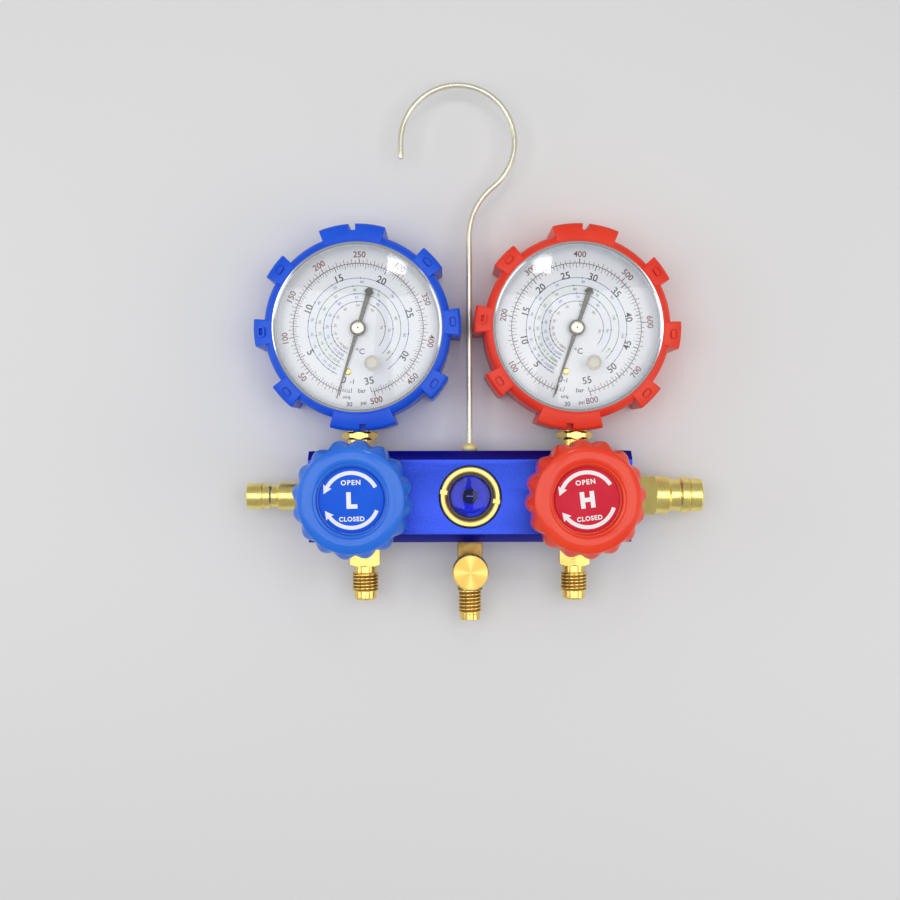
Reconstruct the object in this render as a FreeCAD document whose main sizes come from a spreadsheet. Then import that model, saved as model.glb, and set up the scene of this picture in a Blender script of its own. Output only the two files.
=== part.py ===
import FreeCAD, Part
import math
import os

import Sketcher

# Refrigerant manifold gauge set: a two-valve manifold block with two pressure gauges in rubber boots,
# a sight glass, three hose ports, two parking nipples and a swivelling hook. Millimetres.
# The set lies on its back: +X to the high side, +Y to the hook, +Z out of the front face.
# Every place below is counted from the middle of the block and then shifted by the frame sizes.

SIZES = {
    # block
    "block_length": 152.0,
    "block_width": 43.0,
    "block_depth": 30.0,
    "block_chamfer": 4.0,
    "low_valve_offset": 53.4,
    "high_valve_offset": 51.5,
    "low_port_offset": 50.2,
    "high_port_offset": 50.0,
    "spigot_depth": 8.0,
    "spigot_radius": 5.5,
    "seat_clearance": 0.05,
    "running_clearance": 0.05,
    "body_gap": 0.3,
    # piston valves
    "valve_bore_radius": 6.5,
    "valve_bore_depth": 21.0,
    "piston_length": 7.5,
    "piston_clearance": 0.08,
    "piston_chamfer": 1.0,
    "piston_ring_wire": 0.8,
    "piston_ring_drop": 3.6,
    "spindle_foot_radius": 2.5,
    "spindle_foot_length": 4.0,
    "spindle_radius": 4.0,
    "spindle_stub_radius": 3.5,
    "spindle_stub_length": 8.0,
    "bonnet_flats": 17.0,
    "bonnet_hex_height": 6.0,
    "bonnet_neck_radius": 6.2,
    "bonnet_neck_height": 2.2,
    "bonnet_spigot": 9.0,
    "bonnet_seal_wire": 0.7,
    # handwheels
    "wheel_gap": 2.8,
    "wheel_height": 20.6,
    "wheel_radius": 27.1,
    "wheel_root_radius": 25.0,
    "wheel_lobes": 16.0,
    "wheel_lobe_radius": 3.2,
    "wheel_root_fillet": 1.3,
    "wheel_wall": 2.4,
    "wheel_web": 2.6,
    "wheel_crest_radius": 20.0,
    "wheel_shoulder_radius": 24.4,
    "wheel_shoulder_drop": 2.2,
    "wheel_edge_drop": 5.6,
    "wheel_recess_radius": 15.5,
    "wheel_recess_depth": 4.6,
    "wheel_hub_radius": 7.0,
    "wheel_screw_pocket": 5.0,
    "wheel_screw_drop": 5.5,
    "label_radius": 14.6,
    "label_thickness": 1.0,
    "label_crown": 0.7,
    "knob_screw_head_radius": 3.4,
    "knob_screw_head_height": 2.2,
    "knob_screw_radius": 1.9,
    "knob_screw_length": 10.0,
    # hose ports
    "port_flats": 14.0,
    "port_hex_length": 11.9,
    "port_neck_radius": 5.2,
    "port_neck_length": 3.3,
    "port_thread_radius": 6.35,
    "port_thread_length": 8.7,
    "port_nose_radius": 5.3,
    "port_nose_length": 3.6,
    "port_tip_chamfer": 0.8,
    "port_bore_radius": 2.6,
    # charge port
    "charge_square": 11.7,
    "charge_square_length": 23.1,
    "charge_neck_radius": 4.6,
    "charge_neck_length": 0.7,
    "charge_thread_radius": 5.55,
    "charge_thread_length": 10.4,
    "charge_groove_length": 1.0,
    "charge_nose_radius": 4.8,
    "charge_nose_length": 2.7,
    "charge_bore_radius": 2.3,
    "branch_reach": 13.5,
    "branch_collar_radius": 5.7,
    "branch_collar_top": 11.2,
    "branch_thread_radius": 5.2,
    "branch_top": 16.8,
    "branch_bore_radius": 2.6,
    "branch_bore_depth": 9.0,
    "core_length": 8.0,
    "core_head_length": 1.0,
    "core_head_step": 0.8,
    "core_pin_radius": 0.5,
    "cap_radius": 8.5,
    "cap_height": 8.0,
    "cap_top_wall": 1.75,
    "cap_chamfer": 0.5,
    "cap_seal_thickness": 0.85,
    # sight glass
    "sight_pocket_radius": 14.8,
    "sight_pocket_depth": 7.0,
    "sight_ring_radius": 14.25,
    "sight_ring_inner": 11.2,
    "sight_ring_height": 4.6,
    "sight_ring_slot": 2.0,
    "sight_ring_slot_depth": 1.2,
    "sight_gasket_height": 2.5,
    "sight_lens_radius": 9.75,
    "sight_lens_height": 5.2,
    "sight_lens_crown": 0.6,
    "sight_chamber_radius": 8.0,
    "sight_chamber_depth": 5.0,
    "sight_disc_radius": 3.5,
    "sight_disc_height": 0.8,
    # low side parking nipple
    "low_nipple_neck_radius": 5.8,
    "low_nipple_neck_length": 4.0,
    "low_nipple_body_radius": 6.85,
    "low_nipple_body_length": 11.2,
    "low_nipple_waist_radius": 5.4,
    "low_nipple_waist_length": 4.4,
    "low_nipple_ring_radius": 6.1,
    "low_nipple_ring_length": 3.0,
    "low_nipple_groove_radius": 5.5,
    "low_nipple_groove_length": 0.7,
    "low_nipple_nose_radius": 6.3,
    "low_nipple_nose_length": 7.4,
    # high side parking nipple
    "high_nipple_neck_radius": 7.0,
    "high_nipple_neck_length": 5.0,
    "high_nipple_flats": 18.0,
    "high_nipple_hex_length": 7.7,
    "high_nipple_body_radius": 9.0,
    "high_nipple_body_length": 6.7,
    "high_nipple_waist_radius": 7.55,
    "high_nipple_waist_length": 5.9,
    "high_nipple_ring_radius": 8.5,
    "high_nipple_ring_length": 3.5,
    "high_nipple_groove_radius": 7.2,
    "high_nipple_groove_length": 0.6,
    "high_nipple_nose_radius": 8.0,
    "high_nipple_nose_length": 5.8,
    "nipple_chamfer": 0.6,
    "nipple_recess_radius": 3.2,
    "nipple_recess_depth": 5.0,
    # hook
    "hook_wire_radius": 1.4,
    "hook_bow_radius": 27.3,
    "hook_bow_left": 5.4,
    "hook_bow_centre": 169.5,
    "hook_sweep_radius": 30.0,
    "hook_end_length": 8.0,
    "hook_head_radius": 2.3,
    "hook_head_length": 4.0,
    "ferrule_radius": 3.5,
    "ferrule_height": 3.8,
    "ferrule_spigot_radius": 3.0,
    "ferrule_spigot_depth": 7.0,
    "ferrule_collar_length": 2.0,
    # gauges
    "low_gauge_clearance": 2.6,
    "high_gauge_clearance": 0.5,
    "stem_showing": 9.4,
    "case_radius": 41.0,
    "case_wall": 1.0,
    "case_floor": 1.2,
    "dial_seat": 8.6,
    "dial_thickness": 0.6,
    "dial_screw_radius": 1.6,
    "dial_screw_height": 0.7,
    "dial_screw_x": -5.0,
    "dial_screw_y": -20.4,
    "bezel_wall": 0.6,
    "bezel_skirt": 2.4,
    "bezel_overlap": 1.7,
    "bezel_lip": 0.8,
    "dial_ring_width": 1.5,
    "dial_ring_height": 4.2,
    "lens_flange": 2.1,
    "lens_thickness": 1.6,
    "lens_step": 0.6,
    "lens_crown": 3.2,
    "lens_plug_x": 7.0,
    "lens_plug_y": -17.0,
    "lens_plug_radius": 3.4,
    "lens_plug_hole": 2.4,
    "lens_plug_height": 0.9,
    "lens_plug_seat": 0.35,
    # gauge boots
    "boot_wall": 2.1,
    "boot_floor": 2.4,
    "boot_floor_width": 8.0,
    "boot_lip": 0.9,
    "boot_lip_overlap": 1.3,
    "boot_round": 1.5,
    "boot_lug_height": 4.8,
    "boot_lug_front": 14.5,
    "boot_lug_angle": 15.3,
    "boot_wide_lug_angle": 37.6,
    "boot_lug_pitch_angle": 39.5,
    "boot_notch_width": 3.5,
    "boot_notch_depth": 3.0,
    "boot_stem_opening": 19.0,
    "boot_opening_reach": 12.0,
    "boot_opening_rise": 2.5,
    # gauge stems
    "stem_radius": 6.1,
    "stem_flats": 15.0,
    "stem_hex_height": 3.4,
    "stem_hex_from_block": 5.6,
    "stem_hole_depth": 6.0,
    "socket_width": 14.0,
    "socket_depth": 11.0,
    "socket_top": -25.0,
    "socket_gap": 1.3,
    # gauge movements
    "tube_radius": 30.0,
    "tube_width": 3.0,
    "tube_height": 9.0,
    "tube_middle": -2.0,
    "tube_start_angle": 258.0,
    "tube_sweep_angle": 264.0,
    "plate_thickness": 1.0,
    "front_plate_height": 5.0,
    "plate_half_width": 8.0,
    "plate_head": 5.0,
    "plate_foot_margin": 5.5,
    "pillar_radius": 1.0,
    "pillar_edge": 1.2,
    "arbor_end_play": 0.5,
    "rear_plate_height": -7.0,
    "gear_module": 0.25,
    "pinion_teeth": 12.0,
    "sector_teeth": 96.0,
    "sector_teeth_cut": 15.0,
    "pinion_width": 3.0,
    "sector_width": 1.4,
    "sector_height": 1.0,
    "sector_hub_radius": 2.6,
    "gear_backlash": 0.10,
    "arbor_radius": 0.9,
    "sector_tail": 6.5,
    "link_thickness": 0.8,
    "link_height": -3.4,
    "link_pin_radius": 0.6,
    "link_eye_radius": 1.4,
    "link_end_x": 20.0,
    "link_end_y": -5.0,
    "bracket_width": 2.4,
    "bracket_thickness": 1.0,
    "bracket_gap": 0.5,
    "link_pin_reach": 0.3,
    # pointers
    "pointer_height": 11.0,
    "pointer_thickness": 0.5,
    "pointer_length": 34.7,
    "pointer_tail": 19.3,
    "pointer_root_half": 1.25,
    "pointer_tip_half": 0.25,
    "pointer_tail_half": 0.8,
    "pointer_spade_half": 2.1,
    "pointer_spade_length": 4.5,
    "pointer_boss_radius": 3.7,
    "pointer_boss_height": 1.0,
    "pointer_button_radius": 2.6,
    "pointer_button_height": 0.7,
}

LOW_POINTER_ANGLE = 252.9
HIGH_POINTER_ANGLE = 251.1
LOW_BOOT_TURN = 3.0
HIGH_BOOT_TURN = -4.7
LOW_WHEEL_TURN = 14.5
HIGH_WHEEL_TURN = 5.0
SIGHT_RING_TURN = -10.0
PRESSURE_ANGLE = 20.0

doc = FreeCAD.newDocument("manifold_gauge")
sheet = doc.addObject("Spreadsheet::Sheet", "sizes")


class Size:
    """A number together with the sheet formula that it comes from."""

    def __init__(self, value, formula):
        self.value = value
        self.formula = formula

    def join(self, other, sign, value, turned=False):
        text = other.formula if isinstance(other, Size) else repr(float(other))
        left, right = (text, self.formula) if turned else (self.formula, text)
        return Size(value, "(%s %s %s)" % (left, sign, right))

    def __add__(self, other):
        return self.join(other, "+", self.value + number(other))

    def __radd__(self, other):
        return self.join(other, "+", number(other) + self.value, True)

    def __sub__(self, other):
        return self.join(other, "-", self.value - number(other))

    def __rsub__(self, other):
        return self.join(other, "-", number(other) - self.value, True)

    def __mul__(self, other):
        return self.join(other, "*", self.value * number(other))

    def __rmul__(self, other):
        return self.join(other, "*", number(other) * self.value, True)

    def __truediv__(self, other):
        return self.join(other, "/", self.value / number(other))

    def __neg__(self):
        return Size(-self.value, "(0 - %s)" % self.formula)


def number(value):
    return value.value if isinstance(value, Size) else float(value)


def fill_sheet():
    for row, (name, value) in enumerate(SIZES.items(), start=1):
        sheet.set("A%d" % row, name)
        sheet.set("B%d" % row, str(value))
        sheet.setAlias("B%d" % row, name)
    doc.recompute()


class Dimensions:
    """Reads a driving dimension by its name, as in D.block_length."""

    def __getattr__(self, name):
        return Size(SIZES[name], "sizes.%s" % name)


D = Dimensions()
ZERO = Size(0.0, "0")


def bind(thing, name, value):
    if isinstance(value, Size):
        thing.setExpression(name, value.formula)


# Sketch helpers

def new_body(label):
    body = doc.addObject("PartDesign::Body", label)
    body.Label = label
    return body


def new_sketch(body, role, lift=0, turn=0):
    sketch = body.newObject("Sketcher::SketchObject", body.Name + "_sketch")
    plane = [item for item in body.Origin.OriginFeatures if item.Role == role][0]
    sketch.AttachmentSupport = [(plane, "")]
    sketch.MapMode = "FlatFace"
    upright = FreeCAD.Rotation(FreeCAD.Vector(0, 1, 0), turn)
    sketch.AttachmentOffset = FreeCAD.Placement(FreeCAD.Vector(0, 0, number(lift)), upright)
    bind(sketch, "AttachmentOffset.Base.z", lift)
    return sketch


def pin_point(sketch, geometry, point, x, y):
    for kind, value in (("DistanceX", x), ("DistanceY", y)):
        index = sketch.addConstraint(Sketcher.Constraint(kind, -1, 1, geometry, point, number(value)))
        bind(sketch, "Constraints[%d]" % index, value)


def pin_radius(sketch, geometry, radius):
    index = sketch.addConstraint(Sketcher.Constraint("Radius", geometry, number(radius)))
    bind(sketch, "Constraints[%d]" % index, radius)


def arc_between(start, end, radius):
    """An arc from start to end: a positive radius turns left, a negative one right."""
    chord = end - start
    half = chord.Length / 2
    reach = math.sqrt(max(radius * radius - half * half, 0.0))
    left = FreeCAD.Vector(-chord.y, chord.x, 0).normalize()
    centre = (start + end) / 2 + left * (reach if radius > 0 else -reach)
    first, last = (start, end) if radius > 0 else (end, start)
    angles = [math.atan2(item.y - centre.y, item.x - centre.x) for item in (first, last)]
    circle = Part.Circle(centre, FreeCAD.Vector(0, 0, 1), abs(radius))
    return Part.ArcOfCircle(circle, angles[0], angles[1])


def draw_loop(sketch, corners):
    """A closed outline. A corner is (x, y), or (x, y, radius) where an arc leaves it."""
    points = [FreeCAD.Vector(number(corner[0]), number(corner[1]), 0) for corner in corners]
    first = sketch.GeometryCount
    ends = []
    for index, corner in enumerate(corners):
        start, end = points[index], points[(index + 1) % len(points)]
        if len(corner) == 2:
            sketch.addGeometry(Part.LineSegment(start, end), False)
            ends.append((1, 2))
        else:
            radius = number(corner[2])
            sketch.addGeometry(arc_between(start, end, radius), False)
            ends.append((1, 2) if radius > 0 else (2, 1))
    for index, corner in enumerate(corners):
        geometry, after = first + index, first + (index + 1) % len(corners)
        following = ends[(index + 1) % len(corners)][0]
        sketch.addConstraint(Sketcher.Constraint("Coincident", geometry, ends[index][1], after, following))
        pin_point(sketch, geometry, ends[index][0], corner[0], corner[1])
        if len(corner) == 3:
            pin_radius(sketch, geometry, corner[2] if number(corner[2]) > 0 else -corner[2])


def draw_circle(sketch, x, y, radius):
    centre = FreeCAD.Vector(number(x), number(y), 0)
    index = sketch.addGeometry(Part.Circle(centre, FreeCAD.Vector(0, 0, 1), number(radius)), False)
    pin_point(sketch, index, 3, x, y)
    pin_radius(sketch, index, radius)


def box_corners(x, y, width, height):
    """Corners of a rectangle about (x, y)."""
    return [(x - width / 2, y - height / 2), (x + width / 2, y - height / 2),
            (x + width / 2, y + height / 2), (x - width / 2, y + height / 2)]


def hexagon(flats):
    corner = flats / math.sqrt(3)
    return [(corner * math.cos(math.radians(60 * step)), corner * math.sin(math.radians(60 * step)))
            for step in range(6)]


# Feature helpers

def pad(body, sketch, length, reverse=False):
    feature = body.newObject("PartDesign::Pad", body.Name + "_pad")
    feature.Profile = sketch
    feature.Length = number(length)
    bind(feature, "Length", length)
    feature.Reversed = reverse
    body.Tip = feature
    doc.recompute()
    return feature


def pocket(body, sketch, depth, reverse=False):
    before = body.Shape.Volume
    feature = body.newObject("PartDesign::Pocket", body.Name + "_pocket")
    feature.Profile = sketch
    feature.Length = number(depth)
    bind(feature, "Length", depth)
    feature.Reversed = reverse
    body.Tip = feature
    doc.recompute()
    if body.Shape.Volume > before - 1e-6:
        raise ValueError("pocket in %s cuts nothing" % body.Label)
    return feature


def turn(body, corners, angle=360.0, start=0.0):
    """Revolves a profile of (radius, height) corners about the body's own Z axis."""
    sketch = new_sketch(body, "XZ_Plane", 0, start)
    draw_loop(sketch, corners)
    feature = body.newObject("PartDesign::Revolution", body.Name + "_turn")
    feature.Profile = sketch
    feature.ReferenceAxis = (sketch, ["V_Axis"])
    feature.Angle = number(angle)
    bind(feature, "Angle", angle)
    feature.Midplane = number(angle) < 100
    body.Tip = feature
    doc.recompute()
    return feature


def round_pattern(body, feature, count):
    pattern = body.newObject("PartDesign::PolarPattern", body.Name + "_pattern")
    pattern.Originals = [feature]
    axis = [item for item in body.Origin.OriginFeatures if item.Role == "Z_Axis"][0]
    pattern.Axis = (axis, [""])
    pattern.Angle = 360
    pattern.Occurrences = int(number(count))
    bind(pattern, "Occurrences", count)
    body.Tip = pattern
    doc.recompute()
    return pattern


def soften(body, kind, size, wanted):
    """Fillet or Chamfer on the edges of the tip that wanted(edge) picks."""
    base = body.Tip
    names = ["Edge%d" % (index + 1) for index, edge in enumerate(base.Shape.Edges) if wanted(edge)]
    if not names:
        raise ValueError("no edge to soften on %s" % body.Label)
    feature = body.newObject("PartDesign::" + kind, body.Name + "_" + kind.lower())
    feature.Base = (base, names)
    name = "Radius" if kind == "Fillet" else "Size"
    setattr(feature, name, number(size))
    bind(feature, name, size)
    body.Tip = feature
    doc.recompute()
    return feature


def straight_along(edge, axis):
    if edge.Curve.TypeId != "Part::GeomLine":
        return False
    direction = edge.Curve.Direction
    return abs(abs(direction.dot(axis)) - 1) < 1e-6


# Placing and collecting

NODES = []
UP = FreeCAD.Rotation()
TO_FRONT = FreeCAD.Rotation(FreeCAD.Vector(1, 0, 0), 90)
TO_HOOK = FreeCAD.Rotation(FreeCAD.Vector(1, 0, 0), -90)
TO_LOW = FreeCAD.Rotation(FreeCAD.Vector(0, 1, 0), -90)
TO_HIGH = FreeCAD.Rotation(FreeCAD.Vector(0, 1, 0), 90)


def low_nipple_steps():
    """Radius and length of each step of the low side nipple, from the block outwards."""
    return [(D.low_nipple_neck_radius, D.low_nipple_neck_length),
            (D.low_nipple_body_radius, D.low_nipple_body_length),
            (D.low_nipple_waist_radius, D.low_nipple_waist_length),
            (D.low_nipple_ring_radius, D.low_nipple_ring_length),
            (D.low_nipple_groove_radius, D.low_nipple_groove_length),
            (D.low_nipple_nose_radius, D.low_nipple_nose_length)]


def high_nipple_steps():
    """Radius and length of each step of the high side nipple, from the block outwards."""
    return [(D.high_nipple_neck_radius, D.high_nipple_neck_length),
            (D.high_nipple_neck_radius, D.high_nipple_hex_length),
            (D.high_nipple_body_radius, D.high_nipple_body_length),
            (D.high_nipple_waist_radius, D.high_nipple_waist_length),
            (D.high_nipple_ring_radius, D.high_nipple_ring_length),
            (D.high_nipple_groove_radius, D.high_nipple_groove_length),
            (D.high_nipple_nose_radius, D.high_nipple_nose_length)]


def total_length(steps):
    reach = steps[0][1]
    for step in steps[1:]:
        reach = reach + step[1]
    return reach


HOOK_TOP = D.hook_bow_centre + D.hook_bow_radius + D.hook_wire_radius
PORT_SIDE_REACH = (D.block_width / 2 + D.charge_square_length + D.charge_neck_length
                   + D.charge_thread_length + D.charge_groove_length + D.charge_nose_length)
FRAME_X = (total_length(low_nipple_steps()) - total_length(high_nipple_steps())) / 2
FRAME_Y = (PORT_SIDE_REACH - HOOK_TOP) / 2
FRAME_Z = D.block_depth / 2
FACE = D.block_depth / 2
BOOT_FLOOR = -(D.block_depth / 2)
BOOT_INSIDE = D.case_radius + D.bezel_wall + 2 * D.seat_clearance
BOOT_CREST = BOOT_INSIDE + D.boot_wall + D.boot_lug_height
LOW_GAUGE_X = -(BOOT_CREST + D.hook_wire_radius + D.low_gauge_clearance)
HIGH_GAUGE_X = BOOT_CREST + D.hook_wire_radius + D.high_gauge_clearance
GAUGE_Y = D.block_width / 2 + D.stem_showing + BOOT_CREST
CASE_BACK = BOOT_FLOOR + D.boot_floor + 2 * D.seat_clearance
BEZEL_WINDOW = D.case_radius - D.bezel_overlap
BEZEL_TOP = (D.dial_seat + D.dial_thickness + D.dial_ring_height + D.lens_flange
             + D.bezel_lip + 3 * D.seat_clearance)


def place(thing, x, y, z, rotation=UP):
    """Puts a sub-part at its place counted from the middle of the block."""
    spot = (x + FRAME_X, y + FRAME_Y, z + FRAME_Z)
    thing.Placement = FreeCAD.Placement(FreeCAD.Vector(*[number(value) for value in spot]), rotation)
    for axis, value in zip("xyz", spot):
        bind(thing, "Placement.Base.%s" % axis, value)
    NODES.append(thing)
    return thing


def stepped(steps, start=0):
    """Outer corners of a stepped shaft, from the height start upwards."""
    corners = []
    height = start
    for radius, length in steps:
        corners.append((radius, height))
        height = height + length
        corners.append((radius, height))
    return corners


def yaw(angle):
    return FreeCAD.Rotation(FreeCAD.Vector(0, 0, 1), angle)


def hex_pad(body, flats, height, bore, lift=0):
    sketch = new_sketch(body, "XY_Plane", lift)
    draw_loop(sketch, hexagon(flats))
    if bore is not None:
        draw_circle(sketch, 0, 0, bore)
    return pad(body, sketch, height)


# Block

def drill(body, role, lift, spots, radius, depth, reverse=False):
    """Blind round holes of one size from one plane."""
    sketch = new_sketch(body, role, lift)
    for x, y in spots:
        draw_circle(sketch, x, y, radius)
    return pocket(body, sketch, depth, reverse)


def make_block():
    body = new_body("manifold_block")
    sketch = new_sketch(body, "YZ_Plane", -(D.block_length / 2))
    draw_loop(sketch, box_corners(ZERO, ZERO, D.block_width, D.block_depth))
    pad(body, sketch, D.block_length)
    soften(body, "Chamfer", D.block_chamfer, lambda edge: straight_along(edge, FreeCAD.Vector(1, 0, 0)))
    valves = [(-D.low_valve_offset, ZERO), (D.high_valve_offset, ZERO)]
    ports = [(-D.low_port_offset, ZERO), (D.high_port_offset, ZERO), (ZERO, ZERO)]
    stems = [(LOW_GAUGE_X, ZERO), (HIGH_GAUGE_X, ZERO)]
    spigot = D.spigot_radius + D.seat_clearance
    depth = D.spigot_depth + D.seat_clearance
    drill(body, "XY_Plane", FACE, valves, D.valve_bore_radius, D.valve_bore_depth)
    drill(body, "XY_Plane", FACE, [(ZERO, ZERO)], D.sight_pocket_radius, D.sight_pocket_depth)
    drill(body, "XY_Plane", FACE, [(ZERO, ZERO)], D.sight_chamber_radius,
          D.sight_pocket_depth + D.sight_chamber_depth)
    drill(body, "XZ_Plane", D.block_width / 2, ports, spigot, depth)
    drill(body, "XZ_Plane", -(D.block_width / 2), stems, spigot, depth, True)
    drill(body, "XZ_Plane", -(D.block_width / 2), [(ZERO, ZERO)],
          D.ferrule_spigot_radius + D.seat_clearance, D.ferrule_spigot_depth + D.seat_clearance, True)
    drill(body, "YZ_Plane", D.block_length / 2, [(ZERO, ZERO)], spigot, depth)
    drill(body, "YZ_Plane", -(D.block_length / 2), [(ZERO, ZERO)], spigot, depth, True)
    place(body, ZERO, ZERO, ZERO)


# Sight glass

def make_sight_glass():
    floor = FACE - D.sight_pocket_depth
    lens = new_body("sight_glass_lens")
    edge = D.sight_lens_height - D.sight_lens_crown
    radius = D.sight_lens_radius
    crown = (radius * radius + D.sight_lens_crown * D.sight_lens_crown) / (2 * D.sight_lens_crown)
    turn(lens, [(ZERO, ZERO), (radius, ZERO), (radius, edge, crown), (ZERO, D.sight_lens_height)])
    place(lens, ZERO, ZERO, floor)

    gasket = new_body("sight_glass_gasket")
    inner = D.sight_lens_radius + D.seat_clearance
    outer = D.sight_ring_radius
    turn(gasket, [(inner, ZERO), (outer, ZERO), (outer, D.sight_gasket_height),
                  (inner, D.sight_gasket_height)])
    place(gasket, ZERO, ZERO, floor)

    ring = new_body("sight_glass_ring")
    bevel = D.sight_ring_slot_depth / 3
    turn(ring, [(D.sight_ring_inner, ZERO), (outer, ZERO), (outer, D.sight_ring_height - bevel),
                (outer - bevel, D.sight_ring_height), (D.sight_ring_inner + bevel, D.sight_ring_height),
                (D.sight_ring_inner, D.sight_ring_height - bevel)])
    sketch = new_sketch(ring, "XY_Plane", D.sight_ring_height)
    draw_loop(sketch, box_corners(ZERO, ZERO, D.sight_ring_radius * 2.1, D.sight_ring_slot))
    pocket(ring, sketch, D.sight_ring_slot_depth)
    place(ring, ZERO, ZERO, floor + D.sight_gasket_height, yaw(SIGHT_RING_TURN))

    disc = new_body("sight_glass_disc")
    sketch = new_sketch(disc, "XY_Plane")
    draw_circle(sketch, 0, 0, D.sight_disc_radius)
    pad(disc, sketch, D.sight_disc_height, True)
    place(disc, ZERO, ZERO, floor)


# Hose ports and parking nipples

def make_hose_port(side, x):
    body = new_body(side + "_port")
    bore = D.port_bore_radius
    neck = D.port_neck_radius
    hex_pad(body, D.port_flats, D.port_hex_length, bore)
    outside = stepped([(D.spigot_radius, D.spigot_depth), (neck, D.port_hex_length),
                       (neck, D.port_neck_length), (D.port_thread_radius, D.port_thread_length),
                       (D.port_nose_radius, D.port_nose_length)], -D.spigot_depth)
    del outside[3:5]
    top = outside[-1][1]
    tip = D.port_tip_chamfer
    outside = outside + [(D.port_nose_radius - tip, top + tip), (bore, top + tip)]
    turn(body, [(bore, -D.spigot_depth)] + outside)
    place(body, x, -(D.block_width / 2), ZERO, TO_FRONT)


def make_charge_port():
    body = new_body("charge_port")
    bore = D.charge_bore_radius
    sketch = new_sketch(body, "XY_Plane")
    draw_loop(sketch, box_corners(ZERO, ZERO, D.charge_square, D.charge_square))
    draw_circle(sketch, 0, 0, bore)
    pad(body, sketch, D.charge_square_length)
    outside = stepped([(D.spigot_radius, D.spigot_depth), (D.charge_neck_radius, D.charge_square_length),
                       (D.charge_neck_radius, D.charge_neck_length),
                       (D.charge_thread_radius, D.charge_thread_length),
                       (D.charge_neck_radius, D.charge_groove_length),
                       (D.charge_nose_radius, D.charge_nose_length)], -D.spigot_depth)
    del outside[3:5]
    turn(body, [(bore, -D.spigot_depth)] + outside + [(bore, outside[-1][1])])
    for radius, top in ((D.branch_collar_radius, D.branch_collar_top),
                        (D.branch_thread_radius, D.branch_top)):
        sketch = new_sketch(body, "XZ_Plane", -(D.charge_square / 2 - 0.5))
        draw_circle(sketch, ZERO, D.branch_reach, radius)
        pad(body, sketch, top - D.charge_square / 2 + 0.5, True)
    drill(body, "XZ_Plane", -D.branch_top, [(ZERO, D.branch_reach)], D.branch_bore_radius,
          D.branch_bore_depth, True)
    place(body, ZERO, -(D.block_width / 2), ZERO, TO_FRONT)

    core = new_body("charge_valve_core")
    radius = D.branch_bore_radius - D.seat_clearance
    head = D.core_length - D.core_head_length
    shoulder = head - D.core_head_length
    neck = radius - D.core_head_step
    pin = D.core_pin_radius
    turn(core, [(ZERO, ZERO), (radius, ZERO), (radius, shoulder), (neck, shoulder), (neck, head), (pin, head),
                (pin, D.core_length), (ZERO, D.core_length)])
    y = -(D.block_width / 2) - D.branch_reach
    place(core, ZERO, y, D.branch_top - D.branch_bore_depth)

    seal = new_body("charge_cap_seal")
    sketch = new_sketch(seal, "XY_Plane")
    draw_circle(sketch, 0, 0, D.branch_thread_radius - D.running_clearance)
    pad(seal, sketch, D.cap_seal_thickness)
    place(seal, ZERO, y, D.branch_top + D.body_gap)

    cap = new_body("charge_cap")
    inner = D.branch_thread_radius + D.running_clearance
    top = D.branch_top + D.body_gap + D.cap_seal_thickness + D.running_clearance + D.cap_top_wall
    under = D.cap_height - D.cap_top_wall
    bevel = D.cap_chamfer
    turn(cap, [(inner, ZERO), (D.cap_radius - bevel, ZERO), (D.cap_radius, bevel),
               (D.cap_radius, D.cap_height - bevel), (D.cap_radius - bevel, D.cap_height),
               (ZERO, D.cap_height), (ZERO, under), (inner, under)])
    place(cap, ZERO, y, top - D.cap_height)


def nipple_profile(steps):
    """Half section of a nipple with its spigot and the blind recess in its nose."""
    outside = stepped([(D.spigot_radius, D.spigot_depth)] + steps, -D.spigot_depth)
    top = outside[-1][1]
    radius = outside[-1][0]
    bevel = D.nipple_chamfer
    recess = D.nipple_recess_radius
    floor = top - D.nipple_recess_depth
    return [(ZERO, -D.spigot_depth)] + outside[:-1] + [
        (radius, top - bevel), (radius - bevel, top), (recess, top), (recess, floor), (ZERO, floor)]


def make_nipples():
    low = new_body("low_parking_nipple")
    turn(low, nipple_profile(low_nipple_steps()))
    place(low, -(D.block_length / 2), ZERO, ZERO, TO_LOW)

    high = new_body("high_parking_nipple")
    steps = high_nipple_steps()
    steps[0:2] = [(D.high_nipple_neck_radius, D.high_nipple_neck_length + D.high_nipple_hex_length)]
    hex_pad(high, D.high_nipple_flats, D.high_nipple_hex_length, None, D.high_nipple_neck_length)
    turn(high, nipple_profile(steps))
    place(high, D.block_length / 2, ZERO, ZERO, TO_HIGH)


# Hook

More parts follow.
